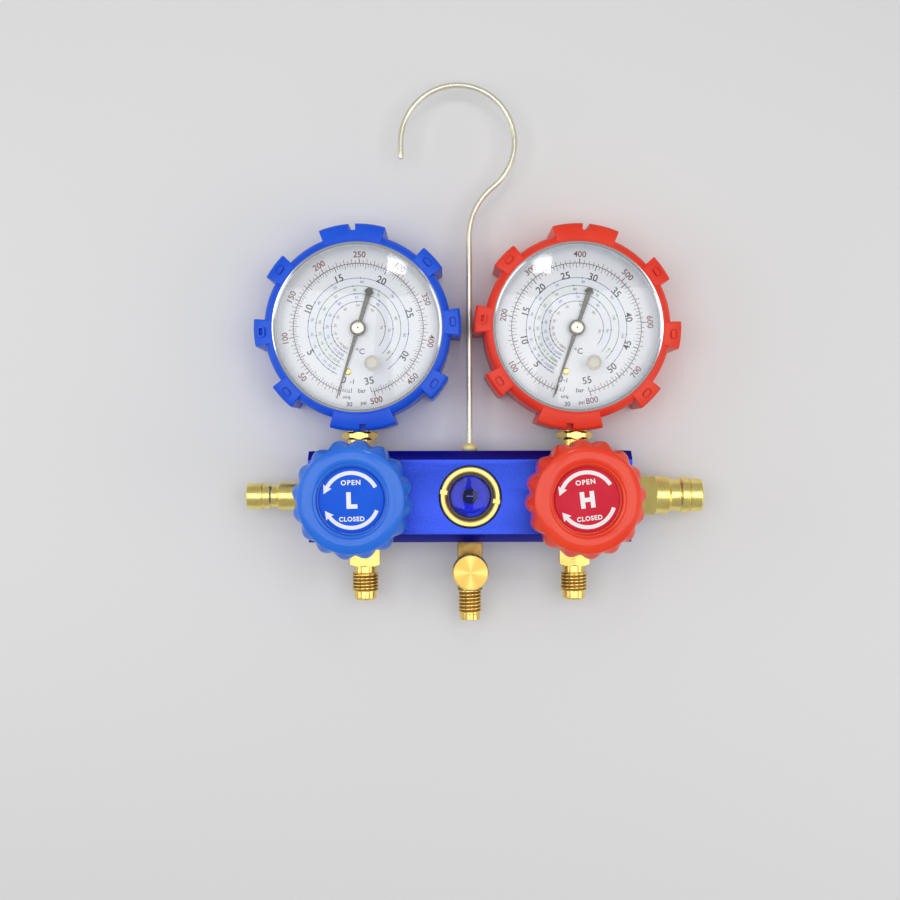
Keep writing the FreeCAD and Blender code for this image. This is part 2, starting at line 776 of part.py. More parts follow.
def make_hook():
    ferrule = new_body("hook_ferrule")
    hole = D.hook_wire_radius + D.running_clearance
    pocket_radius = D.hook_head_radius + D.running_clearance
    bevel = D.ferrule_height / 5
    turn(ferrule, [
        (pocket_radius, -D.ferrule_spigot_depth), (D.ferrule_spigot_radius, -D.ferrule_spigot_depth),
        (D.ferrule_spigot_radius, ZERO), (D.ferrule_radius, ZERO),
        (D.ferrule_radius, D.ferrule_height - bevel), (D.ferrule_radius - bevel, D.ferrule_height),
        (hole, D.ferrule_height), (hole, -D.ferrule_collar_length),
        (pocket_radius, -D.ferrule_collar_length)])
    place(ferrule, ZERO, D.block_width / 2, ZERO, TO_HOOK)

    hook = new_body("hook")
    head_top = D.block_width / 2 - D.ferrule_collar_length - D.running_clearance
    path = new_sketch(hook, "XY_Plane")
    draw_hook_path(path, head_top)
    section = new_sketch(hook, "XZ_Plane", -head_top)
    draw_circle(section, 0, 0, D.hook_wire_radius)
    doc.recompute()
    pipe = hook.newObject("PartDesign::AdditivePipe", "hook_pipe")
    pipe.Profile = section
    pipe.Spine = (path, [])
    hook.Tip = pipe
    doc.recompute()
    sketch = new_sketch(hook, "XZ_Plane", -head_top)
    draw_circle(sketch, 0, 0, D.hook_head_radius)
    pad(hook, sketch, D.hook_head_length)
    place(hook, ZERO, ZERO, ZERO)


def draw_hook_path(path, start_y):
    """Straight shank, a sweep to the side, the round bow and the short straight end."""
    bow = number(D.hook_bow_radius)
    sweep = number(D.hook_sweep_radius)
    centre = FreeCAD.Vector(-number(D.hook_bow_left), number(D.hook_bow_centre), 0)
    meet = centre + FreeCAD.Vector(bow + sweep, 0, 0)
    rise = math.sqrt((bow + sweep) ** 2 - (sweep - centre.x) ** 2)
    side = FreeCAD.Vector(sweep, centre.y - rise, 0)
    lean = math.atan2(centre.y - side.y, centre.x - side.x)
    normal = FreeCAD.Vector(0, 0, 1)
    top = FreeCAD.Vector(0, side.y, 0)
    path.addGeometry(Part.LineSegment(FreeCAD.Vector(0, number(start_y), 0), top), False)
    path.addGeometry(Part.ArcOfCircle(Part.Circle(side, normal, sweep), lean, math.pi), False)
    path.addGeometry(Part.ArcOfCircle(Part.Circle(centre, normal, bow), lean - math.pi, math.pi), False)
    left = FreeCAD.Vector(centre.x - bow, centre.y, 0)
    end = left - FreeCAD.Vector(0, number(D.hook_end_length), 0)
    path.addGeometry(Part.LineSegment(left, end), False)
    pin_point(path, 0, 1, ZERO, start_y)
    path.addConstraint(Sketcher.Constraint("Vertical", 0))
    path.addConstraint(Sketcher.Constraint("Tangent", 0, 2, 1, 2))
    path.addConstraint(Sketcher.Constraint("Tangent", 1, 1, 2, 1))
    pin_radius(path, 1, D.hook_sweep_radius)
    pin_point(path, 2, 3, -D.hook_bow_left, D.hook_bow_centre)
    pin_radius(path, 2, D.hook_bow_radius)
    path.addConstraint(Sketcher.Constraint("Tangent", 2, 2, 3, 1))
    length = path.addConstraint(Sketcher.Constraint("Distance", 3, number(D.hook_end_length)))
    bind(path, "Constraints[%d]" % length, D.hook_end_length)
    path.addConstraint(Sketcher.Constraint("Vertical", 3))


# Piston valves and handwheels

def make_valve(side, x, wheel_turn):
    bonnet_top = FACE + D.bonnet_hex_height + D.bonnet_neck_height
    bore = D.spindle_radius + D.running_clearance
    spigot = D.valve_bore_radius - D.seat_clearance

    bonnet = new_body(side + "_bonnet")
    groove = spigot - 2 * D.bonnet_seal_wire
    hex_pad(bonnet, D.bonnet_flats, D.bonnet_hex_height, bore)
    seat = -2.5 * D.bonnet_seal_wire
    turn(bonnet, [
        (bore, -D.bonnet_spigot), (spigot, -D.bonnet_spigot), (spigot, seat - 2 * D.bonnet_seal_wire),
        (groove, seat - 2 * D.bonnet_seal_wire), (groove, seat), (spigot, seat), (spigot, ZERO),
        (D.bonnet_neck_radius, ZERO), (D.bonnet_neck_radius, bonnet_top - FACE), (bore, bonnet_top - FACE)])
    place(bonnet, x, ZERO, FACE)

    make_ring(side + "_bonnet_seal", groove + D.bonnet_seal_wire, D.bonnet_seal_wire,
              x, FACE + seat - D.bonnet_seal_wire)

    floor = FACE - D.valve_bore_depth + D.body_gap
    piston_top = floor + D.piston_length
    radius = D.valve_bore_radius - D.piston_clearance
    wire = D.piston_ring_wire
    inner = radius - 2 * wire
    groove_low = D.piston_length - D.piston_ring_drop - wire
    foot = D.spindle_foot_radius + D.running_clearance
    piston = new_body(side + "_piston")
    turn(piston, [
        (ZERO, ZERO), (radius - D.piston_chamfer, ZERO), (radius, D.piston_chamfer), (radius, groove_low),
        (inner, groove_low), (inner, groove_low + 2 * wire), (radius, groove_low + 2 * wire),
        (radius, D.piston_length), (foot, D.piston_length),
        (foot, D.piston_length - D.spindle_foot_length), (ZERO, D.piston_length - D.spindle_foot_length)])
    place(piston, x, ZERO, floor)
    make_ring(side + "_piston_ring", inner + wire, wire, x, floor + groove_low + wire)

    wheel_low = bonnet_top + D.wheel_gap
    foot_low = piston_top - D.spindle_foot_length + D.running_clearance
    shoulder = piston_top + D.running_clearance - foot_low
    stub_low = wheel_low - foot_low
    stub_top = stub_low + D.spindle_stub_length
    hole = D.knob_screw_radius + D.running_clearance
    screw_seat = D.wheel_height - D.wheel_screw_drop - D.wheel_recess_depth
    hole_floor = wheel_low + screw_seat - D.knob_screw_length - D.seat_clearance - foot_low
    spindle = new_body(side + "_spindle")
    turn(spindle, [
        (ZERO, ZERO), (D.spindle_foot_radius, ZERO), (D.spindle_foot_radius, shoulder),
        (D.spindle_radius, shoulder), (D.spindle_radius, stub_low), (D.spindle_stub_radius, stub_low),
        (D.spindle_stub_radius, stub_top), (hole, stub_top), (hole, hole_floor), (ZERO, hole_floor)])
    place(spindle, x, ZERO, foot_low)

    make_wheel(side, x, wheel_low, wheel_turn)

    screw = new_body(side + "_knob_screw")
    length = D.knob_screw_length
    head = D.knob_screw_head_radius
    turn(screw, [(ZERO, -length), (D.knob_screw_radius, -length), (D.knob_screw_radius, ZERO), (head, ZERO),
                 (head, D.knob_screw_head_height * 0.7), (head * 0.8, D.knob_screw_head_height),
                 (ZERO, D.knob_screw_head_height)])
    place(screw, x, ZERO, wheel_low + screw_seat)

    label = new_body(side + "_knob_label")
    radius = D.label_radius
    crown = (radius * radius + D.label_crown * D.label_crown) / (2 * D.label_crown)
    turn(label, [(ZERO, ZERO), (radius, ZERO), (radius, D.label_thickness, crown),
                 (ZERO, D.label_thickness + D.label_crown)])
    place(label, x, ZERO, wheel_low + D.wheel_height - D.wheel_recess_depth, yaw(wheel_turn))


def make_ring(label, radius, wire, x, z):
    """A rubber O-ring, its round section drawn as a hexagon."""
    body = new_body(label)
    half = wire * math.sin(math.radians(60))
    turn(body, [(radius + wire, 0), (radius + wire / 2, half), (radius - wire / 2, half), (radius - wire, 0),
                (radius - wire / 2, -half), (radius + wire / 2, -half)])
    place(body, x, ZERO, z)


def make_wheel(side, x, z, wheel_turn):
    """Moulded handwheel: a lobed prism cut to its turned section."""
    lobes = new_body(side + "_wheel_lobes")
    sketch = new_sketch(lobes, "XY_Plane")
    draw_circle(sketch, 0, 0, D.wheel_root_radius)
    pad(lobes, sketch, D.wheel_height)
    sketch = new_sketch(lobes, "XY_Plane")
    draw_circle(sketch, D.wheel_radius - D.wheel_lobe_radius, ZERO, D.wheel_lobe_radius)
    lobe = pad(lobes, sketch, D.wheel_height)
    round_pattern(lobes, lobe, D.wheel_lobes)
    upright = FreeCAD.Vector(0, 0, 1)
    soften(lobes, "Fillet", D.wheel_root_fillet, lambda edge: straight_along(edge, upright)
           and abs(edge.CenterOfMass.x ** 2 + edge.CenterOfMass.y ** 2
                   - number(D.wheel_root_radius) ** 2) < 1)

    section = new_body(side + "_wheel_section")
    top = D.wheel_height
    recess_floor = top - D.wheel_recess_depth
    seat = recess_floor - D.wheel_screw_drop
    web_low = recess_floor - D.wheel_web
    bore = D.spindle_stub_radius + D.seat_clearance
    screw_hole = D.knob_screw_radius + 2 * D.seat_clearance
    wide = D.wheel_radius + 1
    rim = D.wheel_root_radius - D.wheel_wall
    stub = D.spindle_stub_length + D.seat_clearance
    turn(section, [
        (bore, ZERO), (D.wheel_hub_radius, ZERO), (D.wheel_hub_radius + 0.6, web_low), (rim - 0.8, web_low),
        (rim, ZERO), (wide, ZERO), (wide, top - D.wheel_edge_drop - 2),
        (D.wheel_root_radius + 1, top - D.wheel_shoulder_drop - 1.6),
        (D.wheel_shoulder_radius - 1, top - D.wheel_shoulder_drop + 1), (D.wheel_crest_radius, top),
        (D.wheel_recess_radius + 1, top - 0.4), (D.wheel_recess_radius, top - 1.2),
        (D.wheel_recess_radius, recess_floor), (D.wheel_screw_pocket, recess_floor),
        (D.wheel_screw_pocket, seat), (screw_hole, seat), (screw_hole, stub), (bore, stub)])

    wheel = doc.addObject("Part::Common", side + "_handwheel")
    wheel.Label = side + "_handwheel"
    wheel.Base = lobes
    wheel.Tool = section
    doc.recompute()
    place(wheel, x, ZERO, z, yaw(wheel_turn))


# Gauges

def make_boot(side, x, y, boot_turn):
    body = new_body(side + "_boot")
    inside = BOOT_INSIDE
    outside = inside + D.boot_wall
    floor = BOOT_FLOOR
    lip_low = BEZEL_TOP + D.seat_clearance
    lip = lip_low + D.boot_lip
    opening = inside - D.boot_floor_width
    window = inside - D.boot_lip_overlap
    bend = D.boot_round
    turn(body, [
        (opening, floor), (outside - bend, floor), (outside, floor + bend),
        (outside, lip - bend, bend), (outside - bend, lip), (window, lip), (window, lip_low),
        (inside, lip_low), (inside, floor + D.boot_floor), (opening, floor + D.boot_floor)])
    crest = BOOT_CREST
    inner = outside - 0.5
    front = D.boot_lug_front
    pitch = number(D.boot_lug_pitch_angle)
    small = [0, pitch, -pitch, 180, 180 - pitch, 180 + pitch]
    for angle, span in [(item, D.boot_lug_angle) for item in small] + [
            (90, D.boot_wide_lug_angle), (270, D.boot_wide_lug_angle)]:
        turn(body, [(inner, floor), (crest - bend, floor), (crest, floor + bend),
                    (crest, front - bend), (crest - bend, front), (inner, front)], span, angle)
    for sign in (-1, 1):
        sketch = new_sketch(body, "XY_Plane", front)
        notch_y = sign * (crest - D.boot_notch_depth / 2 + 0.5)
        draw_loop(sketch, box_corners(ZERO, notch_y, D.boot_notch_width, D.boot_notch_depth + 1))
        pocket(body, sketch, D.block_depth + front)
    doc.recompute()
    cut_stem_opening(body, side, x, y, boot_turn, crest, floor)


def cut_stem_opening(body, side, x, y, boot_turn, crest, floor):
    """The way out of the boot for the gauge stem, square to the block."""
    tool = new_body(side + "_boot_opening")
    sketch = new_sketch(tool, "XY_Plane", floor - 1)
    reach = D.boot_opening_reach
    draw_loop(sketch, box_corners(ZERO, -(crest - reach / 2), D.boot_stem_opening, reach))
    pad(tool, sketch, D.stem_radius + D.boot_opening_rise - floor)
    body.Placement = FreeCAD.Placement(FreeCAD.Vector(), yaw(boot_turn))
    cut = doc.addObject("Part::Cut", side + "_gauge_boot")
    cut.Label = side + "_gauge_boot"
    cut.Base = body
    cut.Tool = tool
    doc.recompute()
    place(cut, x, y, ZERO)


def make_gauge_shells(side, x, y):
    case = new_body(side + "_gauge_case")
    back = CASE_BACK
    inner = D.case_radius - D.case_wall
    turn(case, [(ZERO, back), (D.case_radius - 1, back), (D.case_radius, back + 1),
                (D.case_radius, D.dial_seat), (inner, D.dial_seat), (inner, back + D.case_floor),
                (ZERO, back + D.case_floor)])
    drill(case, "XZ_Plane", D.case_radius, [(ZERO, ZERO)], D.stem_radius + D.seat_clearance,
          D.stem_hole_depth)
    place(case, x, y, ZERO)

    dial = new_body(side + "_dial")
    dial_top = D.dial_seat + D.dial_thickness
    sketch = new_sketch(dial, "XY_Plane", D.dial_seat)
    draw_circle(sketch, 0, 0, D.case_radius)
    draw_circle(sketch, 0, 0, D.arbor_radius * 2)
    pad(dial, sketch, D.dial_thickness)
    place(dial, x, y, ZERO)

    screws = new_body(side + "_dial_screw")
    turn(screws, [(ZERO, ZERO), (D.dial_screw_radius, ZERO),
                  (D.dial_screw_radius, D.dial_screw_height * 0.6),
                  (D.dial_screw_radius * 0.7, D.dial_screw_height), (ZERO, D.dial_screw_height)])
    place(screws, x + D.dial_screw_x, y + D.dial_screw_y, dial_top)

    bezel = new_body(side + "_bezel")
    snug = D.case_radius + D.seat_clearance
    outer = D.case_radius + D.seat_clearance + D.bezel_wall
    seat = dial_top + D.seat_clearance
    flange = seat + D.dial_ring_height
    lip = BEZEL_TOP - D.bezel_lip
    ring = D.case_radius - D.dial_ring_width
    turn(bezel, [
        (snug, dial_top - D.bezel_skirt), (outer, dial_top - D.bezel_skirt), (outer, BEZEL_TOP - 0.5),
        (outer - 0.5, BEZEL_TOP), (BEZEL_WINDOW, BEZEL_TOP), (BEZEL_WINDOW, lip), (snug, lip),
        (snug, flange), (ring, flange), (ring, seat), (snug, seat)])
    place(bezel, x, y, ZERO)

    lens = new_body(side + "_lens")
    low = flange + D.seat_clearance
    edge = low + D.lens_flange
    rim = BEZEL_WINDOW - 2 * D.seat_clearance
    rise = D.bezel_lip + D.lens_step
    span = (rim * rim + D.lens_crown * D.lens_crown) / (2 * D.lens_crown)
    under = rim - D.lens_thickness
    lift = D.lens_crown * 0.92
    bend = (under * under + lift * lift) / (2 * lift)
    wide = D.case_radius
    inside = edge + rise - D.lens_thickness
    turn(lens, [
        (under, low), (wide, low), (wide, edge), (rim, edge), (rim, edge + rise, span),
        (ZERO, edge + rise + D.lens_crown), (ZERO, inside + lift, -bend), (under, inside)])
    hole_y = D.lens_plug_y
    sketch = new_sketch(lens, "XY_Plane", edge + rise + D.lens_crown + 1)
    draw_circle(sketch, D.lens_plug_x, hole_y, D.lens_plug_hole)
    pocket(lens, sketch, D.lens_crown + D.lens_thickness * 2 + 3)
    place(lens, x, y, ZERO)
    make_lens_plug(side, x, y, edge + rise, span)


def make_lens_plug(side, x, y, rim_height, span):
    """Rubber blow-out plug pressed into the lens."""
    reach = (D.lens_plug_x * D.lens_plug_x + D.lens_plug_y * D.lens_plug_y) / (2 * span)
    plug = new_body(side + "_lens_plug")
    stem = D.lens_plug_hole - D.seat_clearance
    head = D.lens_plug_radius
    turn(plug, [(ZERO, -D.lens_thickness - 0.4), (stem, -D.lens_thickness - 0.4), (stem, D.lens_plug_seat),
                (head, D.lens_plug_seat), (head, D.lens_plug_height),
                (head - 0.5, D.lens_plug_height + 0.4), (ZERO, D.lens_plug_height + 0.4)])
    place(plug, x + D.lens_plug_x, y + D.lens_plug_y, rim_height + D.lens_crown - reach)


def make_stem(side, x, y):
    """Brass gauge socket: spigot, hexagon, neck and the inner block that holds the works."""
    below = GAUGE_Y - D.block_width / 2
    body = new_body(side + "_gauge_stem")
    hex_low = D.stem_hex_from_block
    hex_pad(body, D.stem_flats, D.stem_hex_height, None, hex_low)
    into_case = below - D.case_radius + D.case_wall + D.socket_gap
    turn(body, [(ZERO, -D.spigot_depth), (D.spigot_radius, -D.spigot_depth), (D.spigot_radius, ZERO),
                (D.stem_radius, ZERO), (D.stem_radius, into_case), (ZERO, into_case)])
    sketch = new_sketch(body, "XY_Plane", into_case)
    draw_loop(sketch, box_corners(ZERO, D.tube_middle, D.socket_width, D.socket_depth))
    pad(body, sketch, below + D.socket_top - into_case)
    place(body, x, D.block_width / 2, ZERO, TO_HOOK)


# Gauge movements

def gear_profile(teeth, module, cut, backlash):
    """Corner points of cut involute teeth about the +X axis, the middle one on it."""
    pressure = math.radians(PRESSURE_ANGLE)
    pitch = module * teeth / 2
    base = pitch * math.cos(pressure)
    tip = pitch + 0.9 * module
    root = pitch - 1.15 * module
    thickness = math.pi * module / 2 - backlash
    half = thickness / (2 * pitch) + math.tan(pressure) - pressure
    points = []
    for tooth in range(cut):
        middle = 2 * math.pi * (tooth - (cut - 1) / 2) / teeth
        flank = []
        for step in range(4):
            radius = max(root, base) + (tip - max(root, base)) * step / 3
            roll = math.acos(min(1.0, base / radius))
            flank.append((radius, half - (math.tan(roll) - roll)))
        low = [(root, -flank[0][1])] + [(radius, -angle) for radius, angle in flank]
        high = [(radius, angle) for radius, angle in reversed(flank)] + [(root, flank[0][1])]
        for radius, angle in low + high:
            points.append((radius * math.cos(middle + angle), radius * math.sin(middle + angle)))
    return points


def extruded(points, low, height):
    corners = [FreeCAD.Vector(x, y, low) for x, y in points]
    face = Part.Face(Part.makePolygon(corners + [corners[0]]))
    return face.extrude(FreeCAD.Vector(0, 0, height))


def cylinder(radius, low, high, x=0.0, y=0.0):
    return Part.makeCylinder(radius, high - low, FreeCAD.Vector(x, y, low))


def feature(label, shape):
    part = doc.addObject("Part::Feature", label)
    part.Label = label
    part.Shape = shape.removeSplitter()
    return part


def centre_distance():
    return number(D.gear_module * (D.pinion_teeth + D.sector_teeth) / 2)


def make_pinion(side, x, y):
    """Pointer arbor with its pinion, a gap of the teeth facing the sector."""
    teeth = int(number(D.pinion_teeth))
    points = gear_profile(teeth, number(D.gear_module), teeth, number(D.gear_backlash))
    low = number(D.sector_height + D.sector_width / 2 - D.pinion_width / 2)
    gear = extruded(points, low, number(D.pinion_width))
    turned = -90.0 if teeth % 2 == 0 else -90.0 + 180.0 / teeth
    gear.rotate(FreeCAD.Vector(), FreeCAD.Vector(0, 0, 1), turned)
    bottom = number(D.rear_plate_height - D.arbor_end_play)
    top = number(D.pointer_height + D.pointer_thickness)
    journal = number(D.arbor_radius)
    shape = gear.fuse(cylinder(journal, bottom, top))
    place(feature(side + "_pinion_arbor", shape), x, y, ZERO)


def sector_window(root, half_span):
    """Outline of the lightening window between the sector's rim and its hub."""
    inner, outer = 0.42 * root, 0.8 * root
    steps = [-0.7, -0.25, 0.25, 0.7]
    far = [(outer, math.radians(half_span * step)) for step in steps]
    near = [(inner, math.radians(half_span * step)) for step in reversed(steps)]
    return [(radius * math.cos(angle), radius * math.sin(angle)) for radius, angle in far + near]


def make_sector(side, x, y):
    """Toothed sector on its own arbor, with the tail that the link pulls."""
    teeth = int(number(D.sector_teeth))
    cut = int(number(D.sector_teeth_cut))
    module = number(D.gear_module)
    low = number(D.sector_height)
    width = number(D.sector_width)
    distance = centre_distance()
    points = gear_profile(teeth, module, cut, number(D.gear_backlash))
    eye = number(D.link_eye_radius)
    hub = number(D.sector_hub_radius)
    pitch = 360.0 / teeth
    shape = extruded(points + [(0.0, 0.0)], low, width)
    shape = shape.cut(extruded(sector_window(math.hypot(*points[0]), pitch * cut / 2), low, width))
    shape.rotate(FreeCAD.Vector(), FreeCAD.Vector(0, 0, 1), 90.0 - pitch * ((cut - 1) / 2 - 1))
    tail = number(D.sector_tail)
    bar = Part.makeBox(2 * eye, tail, width, FreeCAD.Vector(-eye, -tail, low))
    pin = cylinder(number(D.link_pin_radius), number(D.link_height - D.link_pin_reach), low, 0.0, -tail)
    journal = number(D.arbor_radius)
    arbor = cylinder(journal, number(D.rear_plate_height - D.arbor_end_play),
                     number(D.front_plate_height + D.plate_thickness + D.arbor_end_play))
    shape = shape.fuse([bar, cylinder(eye, low, low + width, 0.0, -tail), cylinder(hub, low, low + width),
                        pin, arbor])
    shape.translate(FreeCAD.Vector(0, -distance, 0))
    place(feature(side + "_sector_gear", shape), x, y, ZERO)


def link_ends():
    start = FreeCAD.Vector(0, -centre_distance() - number(D.sector_tail), 0)
    end = FreeCAD.Vector(number(D.link_end_x), number(D.link_end_y), 0)
    return start, end


def make_link(side, x, y):
    """Flat link from the sector's tail to the tip of the tube."""
    start, end = link_ends()
    low = number(D.link_height)
    thick = number(D.link_thickness)
    eye = number(D.link_eye_radius)
    along = (end - start).normalize()
    across = FreeCAD.Vector(-along.y, along.x, 0) * (eye * 0.6)
    corners = [start + across, end + across, end - across, start - across]
    bar = extruded([(corner.x, corner.y) for corner in corners], low, thick)
    shape = bar.fuse([cylinder(eye, low, low + thick, start.x, start.y),
                      cylinder(eye, low, low + thick, end.x, end.y)])
    hole = number(D.link_pin_radius + D.running_clearance)
    for spot in (start, end):
        shape = shape.cut(cylinder(hole, low - 1, low + thick + 1, spot.x, spot.y))
    place(feature(side + "_link", shape), x, y, ZERO)


def make_tube(side, x, y):
    """Flattened Bourdon tube bent to a C, with its tip bracket and pin."""
    radius = number(D.tube_radius)
    half = number(D.tube_width) / 2
    tall = number(D.tube_height) / 2
    middle = number(D.tube_middle)
    flat = tall - half
    axis = FreeCAD.Vector(0, 0, 1)
    low, high = middle - flat, middle + flat
    corner = [FreeCAD.Vector(radius + dx, 0, z) for dx, z in ((-half, low), (half, low), (half, high),
                                                            (-half, high))]
    under = FreeCAD.Vector(radius, 0, low - half)
    over = FreeCAD.Vector(radius, 0, high + half)
    edges = [Part.Arc(corner[0], under, corner[1]), Part.LineSegment(corner[1], corner[2]),
             Part.Arc(corner[2], over, corner[3]), Part.LineSegment(corner[3], corner[0])]
    face = Part.Face(Part.Wire([edge.toShape() for edge in edges]))
    start = number(D.tube_start_angle)
    sweep = number(D.tube_sweep_angle)
    face.rotate(FreeCAD.Vector(), axis, start)
    tube = face.revolve(FreeCAD.Vector(), -axis, sweep)
    end = math.radians(start - sweep)
    bracket_low = number(D.link_height + D.link_thickness + D.bracket_gap)
    wide = number(D.bracket_width)
    thick = number(D.bracket_thickness)
    end_x, end_y = number(D.link_end_x), number(D.link_end_y)
    tip = FreeCAD.Vector(radius * math.cos(end), radius * math.sin(end), 0)
    arm = Part.makeBox(tip.x - end_x + half / 3, wide, thick,
                       FreeCAD.Vector(end_x, tip.y - wide / 2, bracket_low))
    drop = Part.makeBox(wide, abs(end_y - tip.y) + wide / 2, thick,
                        FreeCAD.Vector(end_x - wide / 2, min(end_y, tip.y), bracket_low))
    pin_low = bracket_low - number(D.link_pin_reach)
    pin = cylinder(number(D.link_pin_radius), pin_low, bracket_low, end_x, end_y)
    eye = cylinder(wide / 2, bracket_low, bracket_low + thick, end_x, end_y)
    shape = tube.fuse([arm, drop, eye, pin])
    place(feature(side + "_bourdon_tube", shape), x, y, ZERO)


def make_frame(side, x, y):
    """The two plates that carry the arbors, on pillars, on the socket block."""
    distance = centre_distance()
    thick = number(D.plate_thickness)
    rear = number(D.rear_plate_height)
    front = number(D.front_plate_height)
    half = number(D.plate_half_width)
    top = number(D.plate_head)
    foot = number(D.socket_top)
    front_foot = -distance - number(D.plate_foot_margin)
    post = number(D.pillar_radius)
    edge = half - number(D.pillar_edge)
    spots = ((-edge, top - number(D.pillar_edge)), (half - post, -0.8 * distance),
             (-edge, front_foot + 1.5 * post))
    outline = [(-half, foot), (half, foot), (half, top), (-half, top)]
    rear_plate = extruded(outline, rear, thick)
    front_plate = extruded([(-half, front_foot), (half, front_foot), (half, top), (-half, top)], front, thick)
    hole = number(D.arbor_radius + D.running_clearance)
    pillars = [cylinder(post, rear + thick, front, *spot) for spot in spots]
    shape = rear_plate.fuse([front_plate] + pillars)
    for spot in (0.0, -distance):
        shape = shape.cut(cylinder(hole, rear - 1, front + thick + 1, 0.0, spot))
    place(feature(side + "_movement_frame", shape), x, y, ZERO)


def make_pointer(side, x, y, angle):
    """Balanced pointer, drawn along +X and turned to its rest mark."""
    body = new_body(side + "_pointer")
    length, tail = D.pointer_length, D.pointer_tail
    root, tip = D.pointer_root_half, D.pointer_tip_half
    thin, spade = D.pointer_tail_half, D.pointer_spade_half
    neck = tail - D.pointer_spade_length
    sketch = new_sketch(body, "XY_Plane", D.pointer_height)
    draw_loop(sketch, [(length, tip), (ZERO, root), (-neck, thin), (-neck, spade), (-tail, spade),
                       (-tail, -spade), (-neck, -spade), (-neck, -thin), (ZERO, -root), (length, -tip)])
    pad(body, sketch, D.pointer_thickness)
    base = D.pointer_height
    top = base + D.pointer_thickness + D.pointer_boss_height
    hole = D.arbor_radius + D.seat_clearance
    button = D.pointer_button_radius
    turn(body, [(ZERO, base + D.pointer_thickness + D.seat_clearance), (hole, base + D.pointer_thickness
                 + D.seat_clearance), (hole, base), (D.pointer_boss_radius, base),
                (D.pointer_boss_radius, top - 0.4), (D.pointer_boss_radius - 0.4, top), (button, top),
                (button * 0.8, top + D.pointer_button_height), (ZERO, top + D.pointer_button_height)])
    sketch = new_sketch(body, "XY_Plane", base)
    draw_circle(sketch, 0, 0, hole)
    pocket(body, sketch, D.pointer_thickness + D.seat_clearance, True)
    place(body, x, y, ZERO, yaw(angle))


def make_gauge(side, x, pointer_angle, boot_turn):
    y = GAUGE_Y
    make_boot(side, x, y, boot_turn)
    make_gauge_shells(side, x, y)
    make_stem(side, x, y)
    make_pinion(side, x, y)
    make_sector(side, x, y)
    make_link(side, x, y)
    make_tube(side, x, y)
    make_frame(side, x, y)
    make_pointer(side, x, y, pointer_angle)


# Checks and files

def check_document():
    for item in doc.Objects:
        bad = [state for state in item.State if state in ("Invalid", "Error")]
        if bad:
            raise ValueError("%s is %s" % (item.Label, ", ".join(bad)))
    for node in NODES:
        if node.Shape.isNull() or not node.Shape.isValid():
            raise ValueError("%s has no valid shape" % node.Label)


def export_nodes():
    os.makedirs("parts", exist_ok=True)
    for node in NODES:
        node.Shape.exportStep("parts/%s.step" % node.Label)
        print("%-24s %d solids %10.2f mm3" % (node.Label, len(node.Shape.Solids), node.Shape.Volume))


fill_sheet()
make_block()
make_sight_glass()
make_hose_port("low", -D.low_port_offset)
make_hose_port("high", D.high_port_offset)
make_charge_port()
make_nipples()
make_hook()
make_valve("low", -D.low_valve_offset, LOW_WHEEL_TURN)
make_valve("high", D.high_valve_offset, HIGH_WHEEL_TURN)
make_gauge("low", LOW_GAUGE_X, LOW_POINTER_ANGLE, LOW_BOOT_TURN)
make_gauge("high", HIGH_GAUGE_X, HIGH_POINTER_ANGLE, HIGH_BOOT_TURN)
doc.recompute()
check_document()
export_nodes()
print("%d nodes" % len(NODES))
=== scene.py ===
"""A refrigerant manifold gauge set: the looks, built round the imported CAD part.

Sizes are millimetres counted from the middle of the manifold block, +X to the high side, +Y to the hook and
+Z out of the front face, until a piece is finished: then its mesh is set in metres in the row frame.
"""

import logging
import math
from dataclasses import dataclass
from enum import Enum
from functools import cache
from typing import Callable, Sequence

import bmesh
import bpy
from mathutils import Matrix, Vector


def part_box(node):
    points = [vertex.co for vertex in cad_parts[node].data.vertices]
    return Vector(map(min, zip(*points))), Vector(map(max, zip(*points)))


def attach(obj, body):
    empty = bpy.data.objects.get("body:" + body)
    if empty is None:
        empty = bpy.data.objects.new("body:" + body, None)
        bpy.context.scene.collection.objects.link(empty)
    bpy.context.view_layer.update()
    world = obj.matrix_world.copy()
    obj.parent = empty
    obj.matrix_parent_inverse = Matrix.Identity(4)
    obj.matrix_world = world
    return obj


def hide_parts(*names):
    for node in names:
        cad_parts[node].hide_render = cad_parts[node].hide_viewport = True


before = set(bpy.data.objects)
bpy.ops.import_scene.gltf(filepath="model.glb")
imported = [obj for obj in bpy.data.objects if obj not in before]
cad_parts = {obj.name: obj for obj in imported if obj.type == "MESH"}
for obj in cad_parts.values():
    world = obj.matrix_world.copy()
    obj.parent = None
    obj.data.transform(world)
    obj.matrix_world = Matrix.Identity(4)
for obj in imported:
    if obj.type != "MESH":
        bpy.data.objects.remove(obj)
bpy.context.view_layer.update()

LOG = logging.getLogger("manifold_gauge")
MM = 0.001
FULL = 2.0 * math.pi
SLACK = 1e-6

# The block's faces, from its middle: the two ends, the hook's side and the ports' side, and the front.
BLOCK_END = 76.0
BLOCK_SIDE = 21.5
BLOCK_FRONT = 15.0

# The spigots that the ports, nipples and stems have inside the block: their radius and how deep they go.
SPIGOT = 5.5
SPIGOT_END = -8.0

Colour = tuple[float, float, float]
Pair = tuple[float, float]
Corners = Sequence[Pair]
Rule = Callable[[float, float, float], float]


def spun(degrees: float, axis: str = "Z") -> Matrix:
    """A turn about an axis through the origin."""
    return Matrix.Rotation(math.radians(degrees), 4, axis)


def shifted(x: float, y: float = 0.0, z: float = 0.0) -> Matrix:
    """A move along the axes."""
    return Matrix.Translation((x, y, z))


def limited(value: float) -> float:
    """The value, kept between 0 and 1."""
    return max(0.0, min(1.0, value))


class Side(Enum):
    """The two halves of the set."""

    LOW = "low"
    HIGH = "high"


